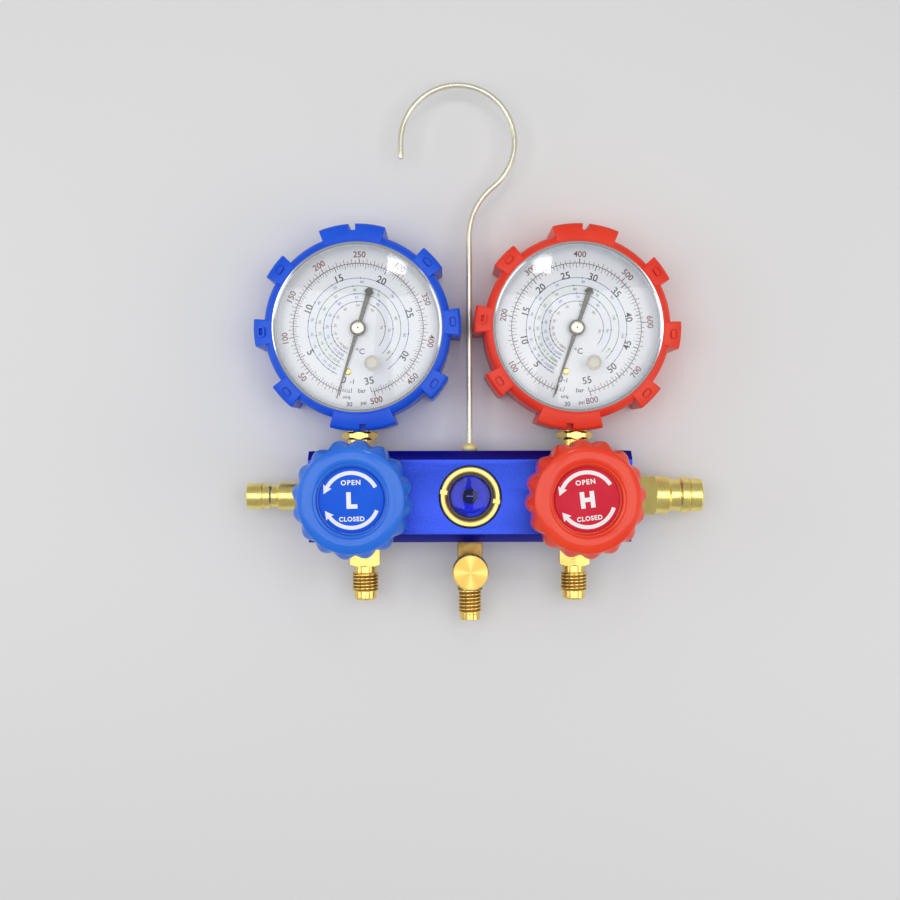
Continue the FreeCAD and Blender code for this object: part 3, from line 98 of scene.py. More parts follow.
class Facing(Enum):
    """Where the local +Z of a turned piece points."""

    UP = Matrix.Identity(4)
    FRONT = spun(90, "X")
    HOOK = spun(-90, "X")
    LOW_END = spun(-90, "Y")
    HIGH_END = spun(90, "Y")


class Ink(Enum):
    """The printing inks of a dial, each with its screen colour."""

    BLACK = (44, 44, 50)
    RED = (126, 62, 60)
    BLUE = (46, 84, 138)
    GREEN = (50, 112, 74)


def screen(red: int, green: int, blue: int) -> Colour:
    """Turns a screen colour of 0 to 255 into the linear colour that a shader reads."""
    parts = []
    for part in (red, green, blue):
        share = part / 255
        parts.append(share / 12.92 if share <= 0.04045 else ((share + 0.055) / 1.055) ** 2.4)
    return parts[0], parts[1], parts[2]


def block_middle() -> Vector:
    """The middle of the manifold block in the row frame, in millimetres."""
    low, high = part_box("manifold_block")
    return (low + high) / (2 * MM)


def middle(node: str) -> Vector:
    """The middle of a CAD node's box, in millimetres from the middle of the block."""
    low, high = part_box(node)
    return (low + high) / (2 * MM) - block_middle()


def at(x: float = 0.0, y: float = 0.0, z: float = 0.0, facing: Facing = Facing.UP,
       turn: float = 0.0) -> Matrix:
    """The place of a piece in the row frame.

    Args:
        x: Millimetres to the high side.
        y: Millimetres to the hook.
        z: Millimetres above the middle of the block.
        facing: Where the piece's own +Z points.
        turn: Degrees that the piece is turned about its own Z first.

    Returns:
        The matrix that sets the piece there, still in millimetres.
    """
    return Matrix.Translation(block_middle() + Vector((x, y, z))) @ facing.value @ spun(turn)


class Wire:
    """A node's output socket. Sums on it add Math nodes."""

    def __init__(self, tree: "Tree", socket: bpy.types.NodeSocket) -> None:
        """Wraps one socket of a tree."""
        self.tree = tree
        self.socket = socket

    def math(self, operation: str, *others: "Wire | float", clamp: bool = False) -> "Wire":
        """Adds a Math node that has this as its first input."""
        return self.tree.add("ShaderNodeMath", {"operation": operation, "use_clamp": clamp},
                             dict(enumerate((self, *others))))

    def __add__(self, other: "Wire | float") -> "Wire":
        """This plus other."""
        return self.math("ADD", other)

    __radd__ = __add__

    def __sub__(self, other: "Wire | float") -> "Wire":
        """This minus other."""
        return self.math("SUBTRACT", other)

    def __rsub__(self, other: float) -> "Wire":
        """Other minus this."""
        return self.tree.add("ShaderNodeMath", {"operation": "SUBTRACT"}, {0: other, 1: self})

    def __mul__(self, other: "Wire | float") -> "Wire":
        """This times other."""
        return self.math("MULTIPLY", other)

    __rmul__ = __mul__

    def __truediv__(self, other: "Wire | float") -> "Wire":
        """This over other."""
        return self.math("DIVIDE", other)

    def __pow__(self, other: float) -> "Wire":
        """This to the power other."""
        return self.math("POWER", other)

    def size(self) -> "Wire":
        """This without its sign."""
        return self.math("ABSOLUTE")

    def step(self, low: float, high: float) -> "Wire":
        """Rises smoothly from 0 at low to 1 at high."""
        return self.tree.add("ShaderNodeMapRange", {"interpolation_type": "SMOOTHSTEP"},
                             {0: self, 1: low, 2: high, 3: 0.0, 4: 1.0})


class Tree:
    """The node tree of one material."""

    def __init__(self, name: str) -> None:
        """Starts an empty material of that name."""
        self.material = bpy.data.materials.new(name)
        self.material.use_nodes = True
        self.material.node_tree.nodes.clear()

    def add(self, kind: str, settings: dict | None = None, sockets: dict | None = None,
            output: int | str = 0) -> Wire:
        """Adds a node.

        Args:
            kind: The node's type.
            settings: Its properties, which are set first.
            sockets: Values or wires for its inputs, by name or number.
            output: The output that is wanted.

        Returns:
            That output.
        """
        node = self.material.node_tree.nodes.new(kind)
        for name, value in (settings or {}).items():
            setattr(node, name, value)
        for name, value in (sockets or {}).items():
            socket = node.inputs[name]
            if isinstance(value, Wire):
                self.material.node_tree.links.new(value.socket, socket)
            elif isinstance(value, tuple) and socket.type == "RGBA":
                socket.default_value = (*value[:3], 1.0)
            else:
                socket.default_value = value
        return Wire(self, node.outputs[output])

    def point(self, centre: Sequence[float] = (0, 0, 0), scale: Sequence[float] = (1, 1, 1)) -> Wire:
        """The place on the piece, counted from a centre in metres and scaled along each axis."""
        offset = tuple(-place * times for place, times in zip(centre, scale))
        return self.add("ShaderNodeMapping", {"vector_type": "POINT"},
                        {"Vector": self.add("ShaderNodeTexCoord", output="Object"), "Location": offset,
                         "Scale": tuple(scale)})

    def noise(self, vector: Wire, scale: float, detail: float = 2.0, roughness: float = 0.5) -> Wire:
        """Cloudy noise between 0 and 1."""
        return self.add("ShaderNodeTexNoise", None,
                        {"Vector": vector, "Scale": scale, "Detail": detail, "Roughness": roughness})

    def blend(self, share: Wire | float, first: Colour | Wire, second: Colour | Wire) -> Wire:
        """Mixes two colours."""
        return self.add("ShaderNodeMix", {"data_type": "RGBA"}, {0: share, 6: first, 7: second}, 2)

    def bump(self, height: Wire, depth: float, strength: float = 1.0) -> Wire:
        """A normal from a height of 0 to 1, depth metres deep."""
        return self.add("ShaderNodeBump", None, {"Height": height, "Distance": depth, "Strength": strength},
                        "Normal")

    def parts(self, vector: Wire) -> tuple[Wire, ...]:
        """The three parts of a vector."""
        node = self.add("ShaderNodeSeparateXYZ", None, {"Vector": vector}).socket.node
        return tuple(Wire(self, socket) for socket in node.outputs)

    def polar(self, place: Wire) -> tuple[Wire, Wire]:
        """A point's distance from its Z axis, and its angle about it in radians."""
        x, y, _ = self.parts(place)
        return (x * x + y * y).math("SQRT"), y.math("ARCTAN2", x)

    def line(self, along: Wire, detail: float, roughness: float) -> Wire:
        """Noise that varies along one number only."""
        return self.noise(self.add("ShaderNodeCombineXYZ", None, {0: along}), 1.0, detail, roughness)

    def skin(self, **sockets: Wire | float | Colour) -> Wire:
        """Adds the Principled shader; underscores in the names stand for spaces."""
        named = {name.replace("_", " "): value for name, value in sockets.items()}
        return self.add("ShaderNodeBsdfPrincipled", None, named)


@dataclass(frozen=True)
class Finish:
    """What a surface is made of, by the name of its material."""

    name: str

    @cache
    def material(self) -> bpy.types.Material:
        """Builds the material the first time that a piece asks for it."""
        tree = Tree(self.name)
        output = tree.material.node_tree.nodes.new("ShaderNodeOutputMaterial")
        tree.material.node_tree.links.new(self.shader(tree).socket, output.inputs["Surface"])
        return tree.material

    def shader(self, tree: Tree) -> Wire:
        """Builds the nodes; each kind of finish has its own."""
        raise NotImplementedError(self.name)


@dataclass(frozen=True)
class Moulded(Finish):
    """Moulded plastic or rubber with a fine orange peel and faint handling marks."""

    colour: Colour
    worn: Colour
    roughness: float = 0.42
    peel: float = 0.00002
    grain: float = 1800.0
    coat: float = 0.0
    coat_roughness: float = 0.2
    shine: float = 0.28

    def shader(self, tree: Tree) -> Wire:
        """Mixes the worn colour in by clouds and scuffs."""
        place = tree.point()
        cloud = tree.noise(place, 55.0, 4.0, 0.6)
        fine = tree.noise(place, self.grain, 2.0)
        scuff = tree.noise(tree.point(scale=(1, 0.25, 1)), 420.0, 3.0, 0.7).step(0.62, 0.8)
        wear = cloud.step(0.3, 0.75) * 0.6 + scuff * 0.25
        return tree.skin(Base_Color=tree.blend(wear, self.colour, self.worn),
                         Roughness=self.roughness + (cloud - 0.5) * 0.12 + scuff * 0.08,
                         Specular_IOR_Level=self.shine, Coat_Weight=self.coat,
                         Coat_Roughness=self.coat_roughness, Normal=tree.bump(fine, self.peel))


@dataclass(frozen=True)
class Anodised(Finish):
    """Blasted and anodised aluminium, smoother on its cut chamfers, which get painted shade: a darker colour
    standing in for the dark that they reflect.
    """

    face: Colour
    # chamfer: painted shade, a darker colour for the slopes between the front and the sides.
    chamfer: Colour

    def shader(self, tree: Tree) -> Wire:
        """Tells the chamfers from the faces by the surface's own normal, and paints shade on them."""
        place = tree.point()
        blast = tree.noise(place, 1300.0, 3.0, 0.7)
        cloud = tree.noise(place, 70.0, 3.0)
        _, across, out = tree.parts(tree.add("ShaderNodeNewGeometry", output="Normal"))
        # Mask of those slopes by the normal: they get the painted chamfer shade and less roughness.
        chamfer_shade_mask = (across * out).size().step(0.2, 0.42)
        bright = tuple(min(1.0, part * 1.6 + 0.01) for part in self.face)
        dim = tuple(part * 0.8 for part in self.face)
        speck = tree.blend(blast.step(0.35, 0.7), self.face, bright)
        face = tree.blend(cloud.step(0.3, 0.8) * 0.35, speck, dim)
        return tree.skin(Base_Color=tree.blend(chamfer_shade_mask, face, self.chamfer), Metallic=0.5,
                         Roughness=0.46 + (blast - 0.5) * 0.2 - chamfer_shade_mask * 0.14,
                         Normal=tree.bump(blast, 0.00006, 0.9))


@dataclass(frozen=True)
class Metal(Finish):
    """Turned or drawn metal: fine lines across its axis, with a little tarnish."""

    bright: Colour
    deep: Colour
    lines: Colour = (1.0, 1.0, 1.0)
    line_depth: float = 0.000008
    roughness: float = 0.15
    tarnish: float = 0.5
    metallic: float = 1.0

    def shader(self, tree: Tree) -> Wire:
        """Mixes the deep colour in by clouds and draws the lines as bumps."""
        place = tree.point()
        cloud = tree.noise(place, 160.0, 5.0, 0.65)
        stain = tree.noise(place, 900.0, 3.0, 0.7).step(0.55, 0.8)
        line = tree.noise(tree.point(scale=self.lines), 2200.0, 2.0, 0.6)
        haze = (cloud * 1.6).math("MINIMUM", 1.0)
        wear = cloud.step(0.35, 0.78) * self.tarnish
        return tree.skin(Base_Color=tree.blend(wear, self.bright, self.deep), Metallic=self.metallic,
                         Roughness=self.roughness + (line - 0.5) * 0.16 + haze * 0.04 + stain * 0.08,
                         Normal=tree.bump(line, self.line_depth))


@dataclass(frozen=True)
class TurnedFace(Finish):
    """The facing cut of a lathe: fine rings about a centre, with a painted highlight in the four arms of
    light that such rings throw.
    """

    # bright is the colour of the painted highlight, deep the colour between its arms.
    bright: Colour
    deep: Colour
    centre: Colour

    def shader(self, tree: Tree) -> Wire:
        """Draws the rings by the radius as bumps, and paints the arms of highlight into the colour by the
        angle.
        """
        radius, angle = tree.polar(tree.point(self.centre))
        ring = tree.line(radius * 5200.0, 2.0, 0.6)
        # Painted highlight: four bright arms by the angle, streaked along it, mixed into the base colour.
        painted_arm_highlight = (angle * 2.0).math("COSINE").size() ** 5.0
        share = (1.0 - painted_arm_highlight) * 0.65 + (tree.line(angle * 9.0, 3.0, 0.7) - 0.5) * 0.5
        return tree.skin(Base_Color=tree.blend(share.math("ADD", 0.0, clamp=True), self.bright, self.deep),
                         Metallic=1.0, Roughness=0.26 + ring * 0.16, Normal=tree.bump(ring, 0.00001))


@dataclass(frozen=True)
class Printed(Finish):
    """Printing ink, flat and slightly uneven."""

    colour: Colour
    roughness: float = 0.5

    def shader(self, tree: Tree) -> Wire:
        """Lets the ink pale here and there."""
        uneven = tree.noise(tree.point(), 1500.0, 3.0, 0.6)
        pale = tuple(part * 0.8 + 0.1 for part in self.colour)
        return tree.skin(Base_Color=tree.blend(uneven.step(0.55, 0.9) * 0.5, self.colour, pale),
                         Roughness=self.roughness + uneven * 0.1)


@dataclass(frozen=True)
class DialPlate(Finish):
    """A silvery white dial with pale tinted bands between its inner rings."""

    centre: Colour
    plate: Colour = screen(240, 242, 246)
    shade: Colour = screen(224, 228, 236)
    band_radii: tuple[float, ...] = (12.7, 16.4, 20.1, 23.8)
    band_tints: tuple[Colour, ...] = (screen(218, 226, 246), screen(220, 238, 230), screen(222, 232, 248))

    def shader(self, tree: Tree) -> Wire:
        """Tints each band, with a gap at the foot of the dial."""
        place = tree.point(self.centre)
        metres, angle = tree.polar(place)
        radius = metres / MM
        satin = tree.noise(tree.point(scale=(1, 0.04, 1)), 2400.0, 3.0, 0.7)
        cloud = tree.noise(place, 26.0, 2.0)
        colour = tree.blend(cloud.step(0.3, 0.75) * 0.6 + (satin - 0.5) * 0.2, self.plate, self.shade)
        gap = (angle + 1.62).size().step(0.42, 0.46)
        for inner, outer, tint in zip(self.band_radii, self.band_radii[1:], self.band_tints):
            band = radius.step(inner - 0.05, inner + 0.05) * (1.0 - radius.step(outer - 0.05, outer + 0.05))
            colour = tree.blend(band * gap * 0.2, colour, tint)
        return tree.skin(Base_Color=colour, Metallic=0.12, Roughness=0.38 + satin * 0.1,
                         Normal=tree.bump(satin, 0.000004))


@dataclass(frozen=True)
class Glass(Finish):
    """Clear window: what is behind it shows, with the gloss of its surface over it."""

    tint: Colour = (1.0, 1.0, 1.0)
    gloss: float = 0.014
    edge: float = 0.5
    roughness: float = 0.03

    def shader(self, tree: Tree) -> Wire:
        """Mixes a mirror over clear glass, more of it at a slant."""
        smear = tree.noise(tree.point(), 60.0, 4.0, 0.7)
        clear = tree.add("ShaderNodeBsdfTransparent", None, {"Color": self.tint})
        shine = tree.skin(Base_Color=(0.9, 0.93, 0.96), Metallic=1.0, Roughness=self.roughness + smear * 0.02)
        facing = tree.add("ShaderNodeLayerWeight", None, {"Blend": 0.35}, "Fresnel")
        return tree.add("ShaderNodeMixShader", None,
                        {0: self.gloss + facing * self.edge * 0.6, 1: clear, 2: shine})


@dataclass(frozen=True)
class Paper(Finish):
    """The floor's pale paper."""

    def shader(self, tree: Tree) -> Wire:
        """Mixes two near greys."""
        fine = tree.noise(tree.point(), 900.0, 3.0)
        return tree.skin(Base_Color=tree.blend(fine * 0.3, screen(232, 232, 232), screen(224, 224, 225)),
                         Roughness=0.85)


class Shape:
    """A mesh being shaped in millimetres about its own origin."""

    def __init__(self) -> None:
        """Starts an empty mesh."""
        self.bm = bmesh.new()

    def settle(self) -> "Shape":
        """Merges doubles and turns every face outwards."""
        bmesh.ops.remove_doubles(self.bm, verts=self.bm.verts[:], dist=1e-4)
        bmesh.ops.recalc_face_normals(self.bm, faces=self.bm.faces[:])
        return self

    def spin(self, geom: list, angle: float, steps: int, centre: Sequence[float] = (0, 0),
             merge: bool = False) -> list:
        """Sweeps geometry about an upright axis by an angle in radians and gives its last copy back."""
        return bmesh.ops.spin(self.bm, geom=geom, cent=(*centre, 0), axis=(0, 0, 1), angle=angle, steps=steps,
                              use_merge=merge)["geom_last"]

    def lathe(self, corners: Corners, steps: int = 96, soft: float = 0.0, rows: float = 0.0) -> "Shape":
        """Turns a half section a full round about Z.

        Args:
            corners: Its (radius, height) corners in order, closed unless both ends are on the axis.
            steps: The steps of the round.
            soft: The radius that rounds each corner off the axis.
            rows: The longest edge that may stay, or 0 to leave the edges whole.

        Returns:
            The shape itself.
        """
        verts = [self.bm.verts.new((radius, 0.0, height)) for radius, height in corners]
        for first, second in zip(verts, verts[1:]):
            self.bm.edges.new((first, second))
        if corners[0][0] > 0 or corners[-1][0] > 0:
            self.bm.edges.new((verts[-1], verts[0]))
        if soft:
            bmesh.ops.bevel(self.bm, geom=[vert for vert in verts if vert.co.x > SLACK], offset=soft,
                            offset_type="OFFSET", segments=2, profile=0.5, affect="VERTICES",
                            clamp_overlap=True, material=-1)
        if rows:
            for edge in self.bm.edges[:]:
                cuts = int(edge.calc_length() / rows)
                if cuts:
                    bmesh.ops.subdivide_edges(self.bm, edges=[edge], cuts=cuts)
        self.spin(self.bm.verts[:] + self.bm.edges[:], FULL, steps, merge=True)
        return self.settle()

    def sector(self, corners: Corners, start: float, span: float, steps: int = 12) -> "Shape":
        """Turns a closed half section about Z from start through span degrees, with both ends capped."""
        verts = [self.bm.verts.new((radius, 0.0, height)) for radius, height in corners]
        face = self.bm.faces.new(verts)
        bmesh.ops.rotate(self.bm, verts=verts, cent=(0, 0, 0), matrix=spun(start).to_3x3())
        self.spin([face] + verts + face.edges[:], math.radians(span), steps)
        return self.settle()

    def prism(self, outline: Corners, low: float, high: float) -> "Shape":
        """Raises a flat outline from one height to another."""
        face = self.bm.faces.new([self.bm.verts.new((x, y, low)) for x, y in outline])
        raised = bmesh.ops.extrude_face_region(self.bm, geom=[face])["geom"]
        verts = [part for part in raised if isinstance(part, bmesh.types.BMVert)]
        bmesh.ops.translate(self.bm, verts=verts, vec=(0, 0, high - low))
        return self.settle()

    def box(self, centre: Sequence[float], size: Sequence[float]) -> "Shape":
        """Adds a box."""
        bmesh.ops.create_cube(self.bm, size=1.0, matrix=shifted(*centre) @ Matrix.Diagonal((*size, 1.0)))
        return self

    def bevel(self, size: float, segments: int = 2, sharp: float = 30.0) -> "Shape":
        """Rounds every edge that bends by more than sharp degrees."""
        limit = math.radians(sharp)
        edges = [edge for edge in self.bm.edges
                 if len(edge.link_faces) == 2 and edge.calc_face_angle(0.0) > limit]
        bmesh.ops.bevel(self.bm, geom=edges, offset=size, offset_type="OFFSET", segments=segments,
                        profile=0.5, affect="EDGES", clamp_overlap=True, material=-1)
        return self

    def reshape(self, rule: Rule) -> "Shape":
        """Moves each point along its own radius.

        Args:
            rule: Gives the new radius from the radius, the angle in radians and the height.

        Returns:
            The shape itself.
        """
        for vert in self.bm.verts:
            radius = math.hypot(vert.co.x, vert.co.y)
            if radius > SLACK:
                share = rule(radius, math.atan2(vert.co.y, vert.co.x), vert.co.z) / radius
                vert.co.x *= share
                vert.co.y *= share
        return self

    def move(self, matrix: Matrix) -> "Shape":
        """Moves the whole shape."""
        self.bm.transform(matrix)
        return self

    def join(self, other: "Shape", matrix: Matrix = Matrix.Identity(4)) -> "Shape":
        """Adds another shape's mesh to this one, moved by a matrix, and frees it."""
        mesh = bpy.data.meshes.new("joined")
        other.move(matrix).bm.to_mesh(mesh)
        other.bm.free()
        self.bm.from_mesh(mesh)
        bpy.data.meshes.remove(mesh)
        return self

    def link(self, name: str) -> bpy.types.Object:
        """Puts the mesh in the scene as an object, and frees the shape."""
        mesh = bpy.data.meshes.new(name)
        self.bm.to_mesh(mesh)
        self.bm.free()
        thing = bpy.data.objects.new(name, mesh)
        bpy.context.scene.collection.objects.link(thing)
        return thing

    def carve(self, cutter: "Shape") -> "Shape":
        """Cuts another shape out of this one, and frees it."""
        things = [self.link("carved"), cutter.link("cutter")]
        change = things[0].modifiers.new("cut", "BOOLEAN")
        change.operation = "DIFFERENCE"
        change.solver = "EXACT"
        change.object = things[1]
        graph = bpy.context.evaluated_depsgraph_get()
        result = bpy.data.meshes.new_from_object(things[0].evaluated_get(graph))
        self.bm = bmesh.new()
        self.bm.from_mesh(result)
        for mesh in [thing.data for thing in things] + [result]:
            bpy.data.meshes.remove(mesh)
        return self

    def piece(self, name: str, place: Matrix, finish: Finish, slot: str, replaced: str = "",
              body: str = "root", smooth: float = 32.0) -> None:
        """Sets the shape in its place as a finished piece, and frees it.

        Args:
            name: The piece's name.
            place: Its place in the row frame, in millimetres.
            finish: Its finish.
            slot: The record's material slot; not used.
            replaced: The CAD node that it stands for, if any.
            body: The CAD body that it rides on.
            smooth: The bend in degrees above which an edge stays sharp.
        """
        thing = self.move(Matrix.Scale(MM, 4) @ place).link(name)
        thing.data.materials.append(finish.material())
        thing.data.shade_smooth()
        thing.data.set_sharp_from_angle(angle=math.radians(smooth))
        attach(thing, body)
        if replaced:
            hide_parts(replaced)
        LOG.info("%s: %d faces", name, len(thing.data.polygons))


def lettering(words: str, height: float, weight: float = 0.0, fine: int = 4, spacing: float = 1.0) -> Shape:
    """Flat text about the origin.

    Args:
        words: What it says.
        height: The font size.
        weight: How much each stroke is widened.
        fine: The steps of each curve.
        spacing: The space between letters.

    Returns:
        The text as a shape.
    """
    curve = bpy.data.curves.new("lettering", "FONT")
    curve.body = words
    curve.size = height
    curve.offset = weight
    curve.resolution_u = fine
    curve.space_character = spacing
    curve.align_x = "CENTER"
    curve.align_y = "CENTER"
    thing = bpy.data.objects.new("lettering", curve)
    bpy.context.scene.collection.objects.link(thing)
    bpy.context.view_layer.update()
    mesh = bpy.data.meshes.new_from_object(thing.evaluated_get(bpy.context.evaluated_depsgraph_get()))
    shape = Shape()
    shape.bm.from_mesh(mesh)
    bpy.data.objects.remove(thing)
    bpy.data.curves.remove(curve)
    bpy.data.meshes.remove(mesh)
    heights = [vert.co.y for vert in shape.bm.verts]
    return shape.move(shifted(0, -(min(heights) + max(heights)) / 2))


def arc_band(radius: float, width: float, start: float, end: float) -> Shape:
    """A flat band along an arc, from start to end degrees."""
    shape = Shape()
    verts = [shape.bm.verts.new((radius + side * width / 2, 0, 0)) for side in (-1, 1)]
    edge = shape.bm.edges.new(verts)
    bmesh.ops.rotate(shape.bm, verts=verts, cent=(0, 0, 0), matrix=spun(start).to_3x3())
    shape.spin(verts + [edge], math.radians(end - start), max(3, int(abs(end - start) / 3)))
    for face in shape.bm.faces:
        face.normal_update()
        if face.normal.z < 0:
            face.normal_flip()
    return shape


def hexagon_rule(flats: float, low: float, high: float, chamfer: float) -> Rule:
    """A rule that cuts a turned zone to a hexagon with chamfered corners.

    Args:
        flats: The width across the flats.
        low: Where the hexagon starts.
        high: Where it ends.
        chamfer: How far each end's cone comes in at its face.

    Returns:
        The rule for Shape.reshape.
    """
    def rule(radius: float, angle: float, height: float) -> float:
        """Keeps points of the hexagon's zone inside its flats and its cones."""
        if not low - SLACK <= height <= high + SLACK or radius < flats / 2 - SLACK:
            return radius
        off = (angle + FULL) % (math.pi / 3) - math.pi / 6
        reach = min(height - low, high - height)
        cone = corner_radius(flats) - max(0.0, chamfer - reach * 1.7)
        return min(radius, flats / 2 / math.cos(off), cone)

    return rule


def corner_radius(flats: float) -> float:
    """The radius over the corners of a hexagon of that width across its flats."""
    return flats / math.sqrt(3)


def thread_rule(crest: float, depth: float, pitch: float, low: float, high: float) -> Rule:
    """A rule that winds a rounded thread into a turned zone, running out at both ends."""

    def rule(radius: float, angle: float, height: float) -> float:
        """Lowers points of the zone into the groove."""
        if radius < crest - 1e-3 or not low <= height <= high:
            return radius
        phase = (height / pitch - angle / FULL) % 1.0
        wave = 0.5 - 0.5 * math.cos(phase * FULL)
        fade = limited(min((height - low) / (0.5 * pitch), (high - height) / (0.5 * pitch)))
        return radius - depth * limited(wave * 1.5 - 0.25) * fade

    return rule


def groove_shade_sleeve(crest: float, low: float, high: float) -> Shape:
    """Painted shade at the bottom of a thread's grooves: a sleeve of dark brass half a groove under the
    crests.
    """
    inner, outer = crest - 1.2, crest - 0.42
    low, high = low + 0.5, high - 0.5
    return Shape().lathe([(inner, low), (outer, low), (outer, high), (inner, high)], 64)


BRASS = screen(250, 220, 128), screen(220, 174, 82)
BRASS_UP = Metal("turned_brass_up", *BRASS, (0.05, 0.05, 1.0))
BRASS_FRONT = Metal("turned_brass_front", *BRASS, (0.05, 1.0, 0.05))
MILLED_BRASS = Metal("milled_brass", screen(160, 130, 74), screen(104, 80, 40),
                     (1.0, 0.3, 0.3), 0.00006, 0.36, 0.9)
# Dark brass for the groove sleeves: painted shade in the thread grooves.
GROOVE_SHADE_BRASS = Metal("groove_shade_brass", screen(150, 104, 40), screen(96, 62, 22),
                     (1.0, 0.1, 1.0), 0.000006, 0.4, 0.8)
END_BRASS = Metal("bright_end_brass", screen(255, 236, 146), screen(218, 182, 84),
                  (1.0, 0.05, 0.05), 0.000006, 0.25, 0.45)
SATIN_BRASS = Metal("satin_brass", screen(252, 226, 138), screen(236, 196, 104),
                    (1.0, 1.0, 1.0), 0.000006, 0.36, 0.5)
# Pale, nearly non-metallic brass for the ferrule: a painted highlight standing in for the bright reflection
# across its face.
PALE_BRASS_PAINTED_HIGHLIGHT = Metal("pale_brass_painted_highlight", screen(255, 244, 170), screen(246, 224, 130),
                   (1.0, 0.3, 1.0), 0.000006, 0.35, 0.2, 0.2)
STEEL = Metal("bright_steel", screen(228, 225, 206), screen(192, 188, 170),
              (1, 0.03, 1), 0.000006, 0.2, 0.3, 0.55)
SCREW_STEEL = Metal("screw_steel", screen(190, 192, 196), screen(150, 150, 152))
CHROME = Metal("bezel_chrome", screen(232, 234, 238), screen(206, 208, 214),
               (0.05, 0.05, 1), 0.000004, 0.1, 0.2)
WORKS_BRASS = Metal("works_brass", screen(206, 172, 92), screen(176, 136, 64),
                    (0.06, 1, 1), 0.00001, 0.28, 0.6)
TUBE_BRONZE = Metal("tube_bronze", screen(196, 146, 84), screen(160, 110, 60))
BUTTON = Metal("pointer_button", screen(240, 232, 200), screen(222, 208, 160),
               (0.2, 0.2, 1), 0.000003, 0.25, 0.3)
# The second colour is the painted shade of the chamfers.
BLOCK_BLUE = Anodised("anodised_blue", screen(44, 80, 230), screen(14, 14, 150))
CASE_BLACK = Moulded("case_black", screen(26, 26, 28), screen(38, 38, 40), 0.45)
SEAL_RUBBER = Moulded("seal_rubber", screen(22, 22, 22), screen(34, 34, 34), 0.6)
POINTER_PAINT = Moulded("pointer_paint", screen(104, 103, 96), screen(112, 110, 103),
                        0.42, 0.0000005, 900)
DARK_DOT = Moulded("dark_dot", screen(28, 26, 24), screen(40, 38, 36), 0.4)
PLUG_SILICONE = Moulded("plug_silicone", screen(222, 219, 208), screen(200, 198, 190),
                        0.3, 0.000004, 900, 0.4, 0.15)
LABEL_WHITE = Printed("label_white", screen(246, 246, 246), 0.35)
INKS = {ink: Printed(f"ink_{ink.name.lower()}", screen(*ink.value)) for ink in Ink}
GAUGE_WINDOW = Glass("gauge_window")
SIGHT_WINDOW = Glass("sight_window", screen(196, 206, 252), 0.02, 0.4)

BOOT_RUBBER = (0.36, 0.000008, 2600, 0.1, 0.25)
BOOTS = {Side.LOW: Moulded("boot_blue", screen(12, 82, 224), screen(28, 100, 232), *BOOT_RUBBER),
         Side.HIGH: Moulded("boot_red", screen(236, 52, 28), screen(242, 76, 50), *BOOT_RUBBER)}
WHEEL_PLASTIC = (0.4, 0.000004, 2600, 0.5, 0.12)
WHEELS = {Side.LOW: Moulded("wheel_blue", screen(20, 108, 226), screen(34, 120, 232), *WHEEL_PLASTIC),
          Side.HIGH: Moulded("wheel_red", screen(240, 52, 12), screen(246, 72, 26), *WHEEL_PLASTIC)}
LABEL_PLASTIC = (0.5, 0.000002, 300, 0.12, 0.35, 0.1)
LABELS = {Side.LOW: Moulded("label_blue", screen(10, 92, 228), screen(26, 106, 236), *LABEL_PLASTIC),
          Side.HIGH: Moulded("label_crimson", screen(212, 30, 56), screen(222, 50, 70), *LABEL_PLASTIC)}


@dataclass
class Block:
    """The anodised manifold block."""

    edge: float = 0.28

    def build(self) -> None:
        """Softens a copy of the drilled block and dresses it."""
        shape = Shape()
        shape.bm.from_mesh(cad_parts["manifold_block"].data)
        bmesh.ops.remove_doubles(shape.bm, verts=shape.bm.verts[:], dist=1e-7)
        bmesh.ops.dissolve_limit(shape.bm, angle_limit=math.radians(1.0), verts=shape.bm.verts[:],
                                 edges=shape.bm.edges[:])
        shape.move(Matrix.Scale(1 / MM, 4)).bevel(self.edge)
        shape.piece("block_body", Matrix.Identity(4), BLOCK_BLUE, "anodised_block", "manifold_block")


@dataclass
class SightGlass:
    """The window of the block: slotted ring, lens, and the indicator under it."""

    ring: Pair = (11.2, 14.25)
    ring_heights: Pair = (10.5, 15.1)
    slot_width: float = 2.1
    slot_floor: float = 13.2
    turn: float = -10.0
    lens_radius: float = 9.75
    lens_floor: float = 8.0

    def build(self) -> None:
        """Builds the ring, the lens and the indicator."""
        inner, outer = self.ring
        low, high = self.ring_heights
        shape = Shape().lathe([
            (10.1, low), (outer, low), (outer, high - 0.5), (outer - 0.6, high), (inner + 0.9, high),
            (inner + 0.35, high - 0.35), (inner, high - 0.9), (10.5, low + 1.0), (10.1, low + 0.7)], 128)
        shape.carve(Shape().box((0, 0, self.slot_floor + 2.0), (2.2 * outer, self.slot_width, 4.0)))
        shape.piece("sight_ring", at(turn=self.turn), SATIN_BRASS, "brass", "sight_glass_ring", smooth=20)
        radius, base = self.lens_radius, self.lens_floor
        Shape().lathe([
            (0, base), (radius, base), (radius, base + 3.9), (radius - 0.7, base + 4.6),
            (radius * 0.72, base + 4.95), (radius * 0.4, base + 5.12), (0, base + 5.2)], 96).piece(
                "sight_lens", at(), SIGHT_WINDOW, "sight_glass", "sight_glass_lens")
        Shape().lathe([
            (0, base - 0.8), (3.5, base - 0.8), (3.5, base - 0.05), (2.9, base - 0.05), (2.6, base - 0.35),
            (0, base - 0.35)], 64, 0.05).piece(
                "sight_indicator", at(), DARK_DOT, "sight_disc", "sight_glass_disc")
        Shape().box((0, 0, base - 0.22), (3.3, 0.5, 0.24)).bevel(0.08).piece(
            "sight_bar", at(), CHROME, "sight_disc")


@dataclass
class Half:
    """A part that each side of the set has."""

    side: Side

    @property
    def name(self) -> str:
        """What the names of its pieces, nodes and bodies start with."""
        return self.side.value


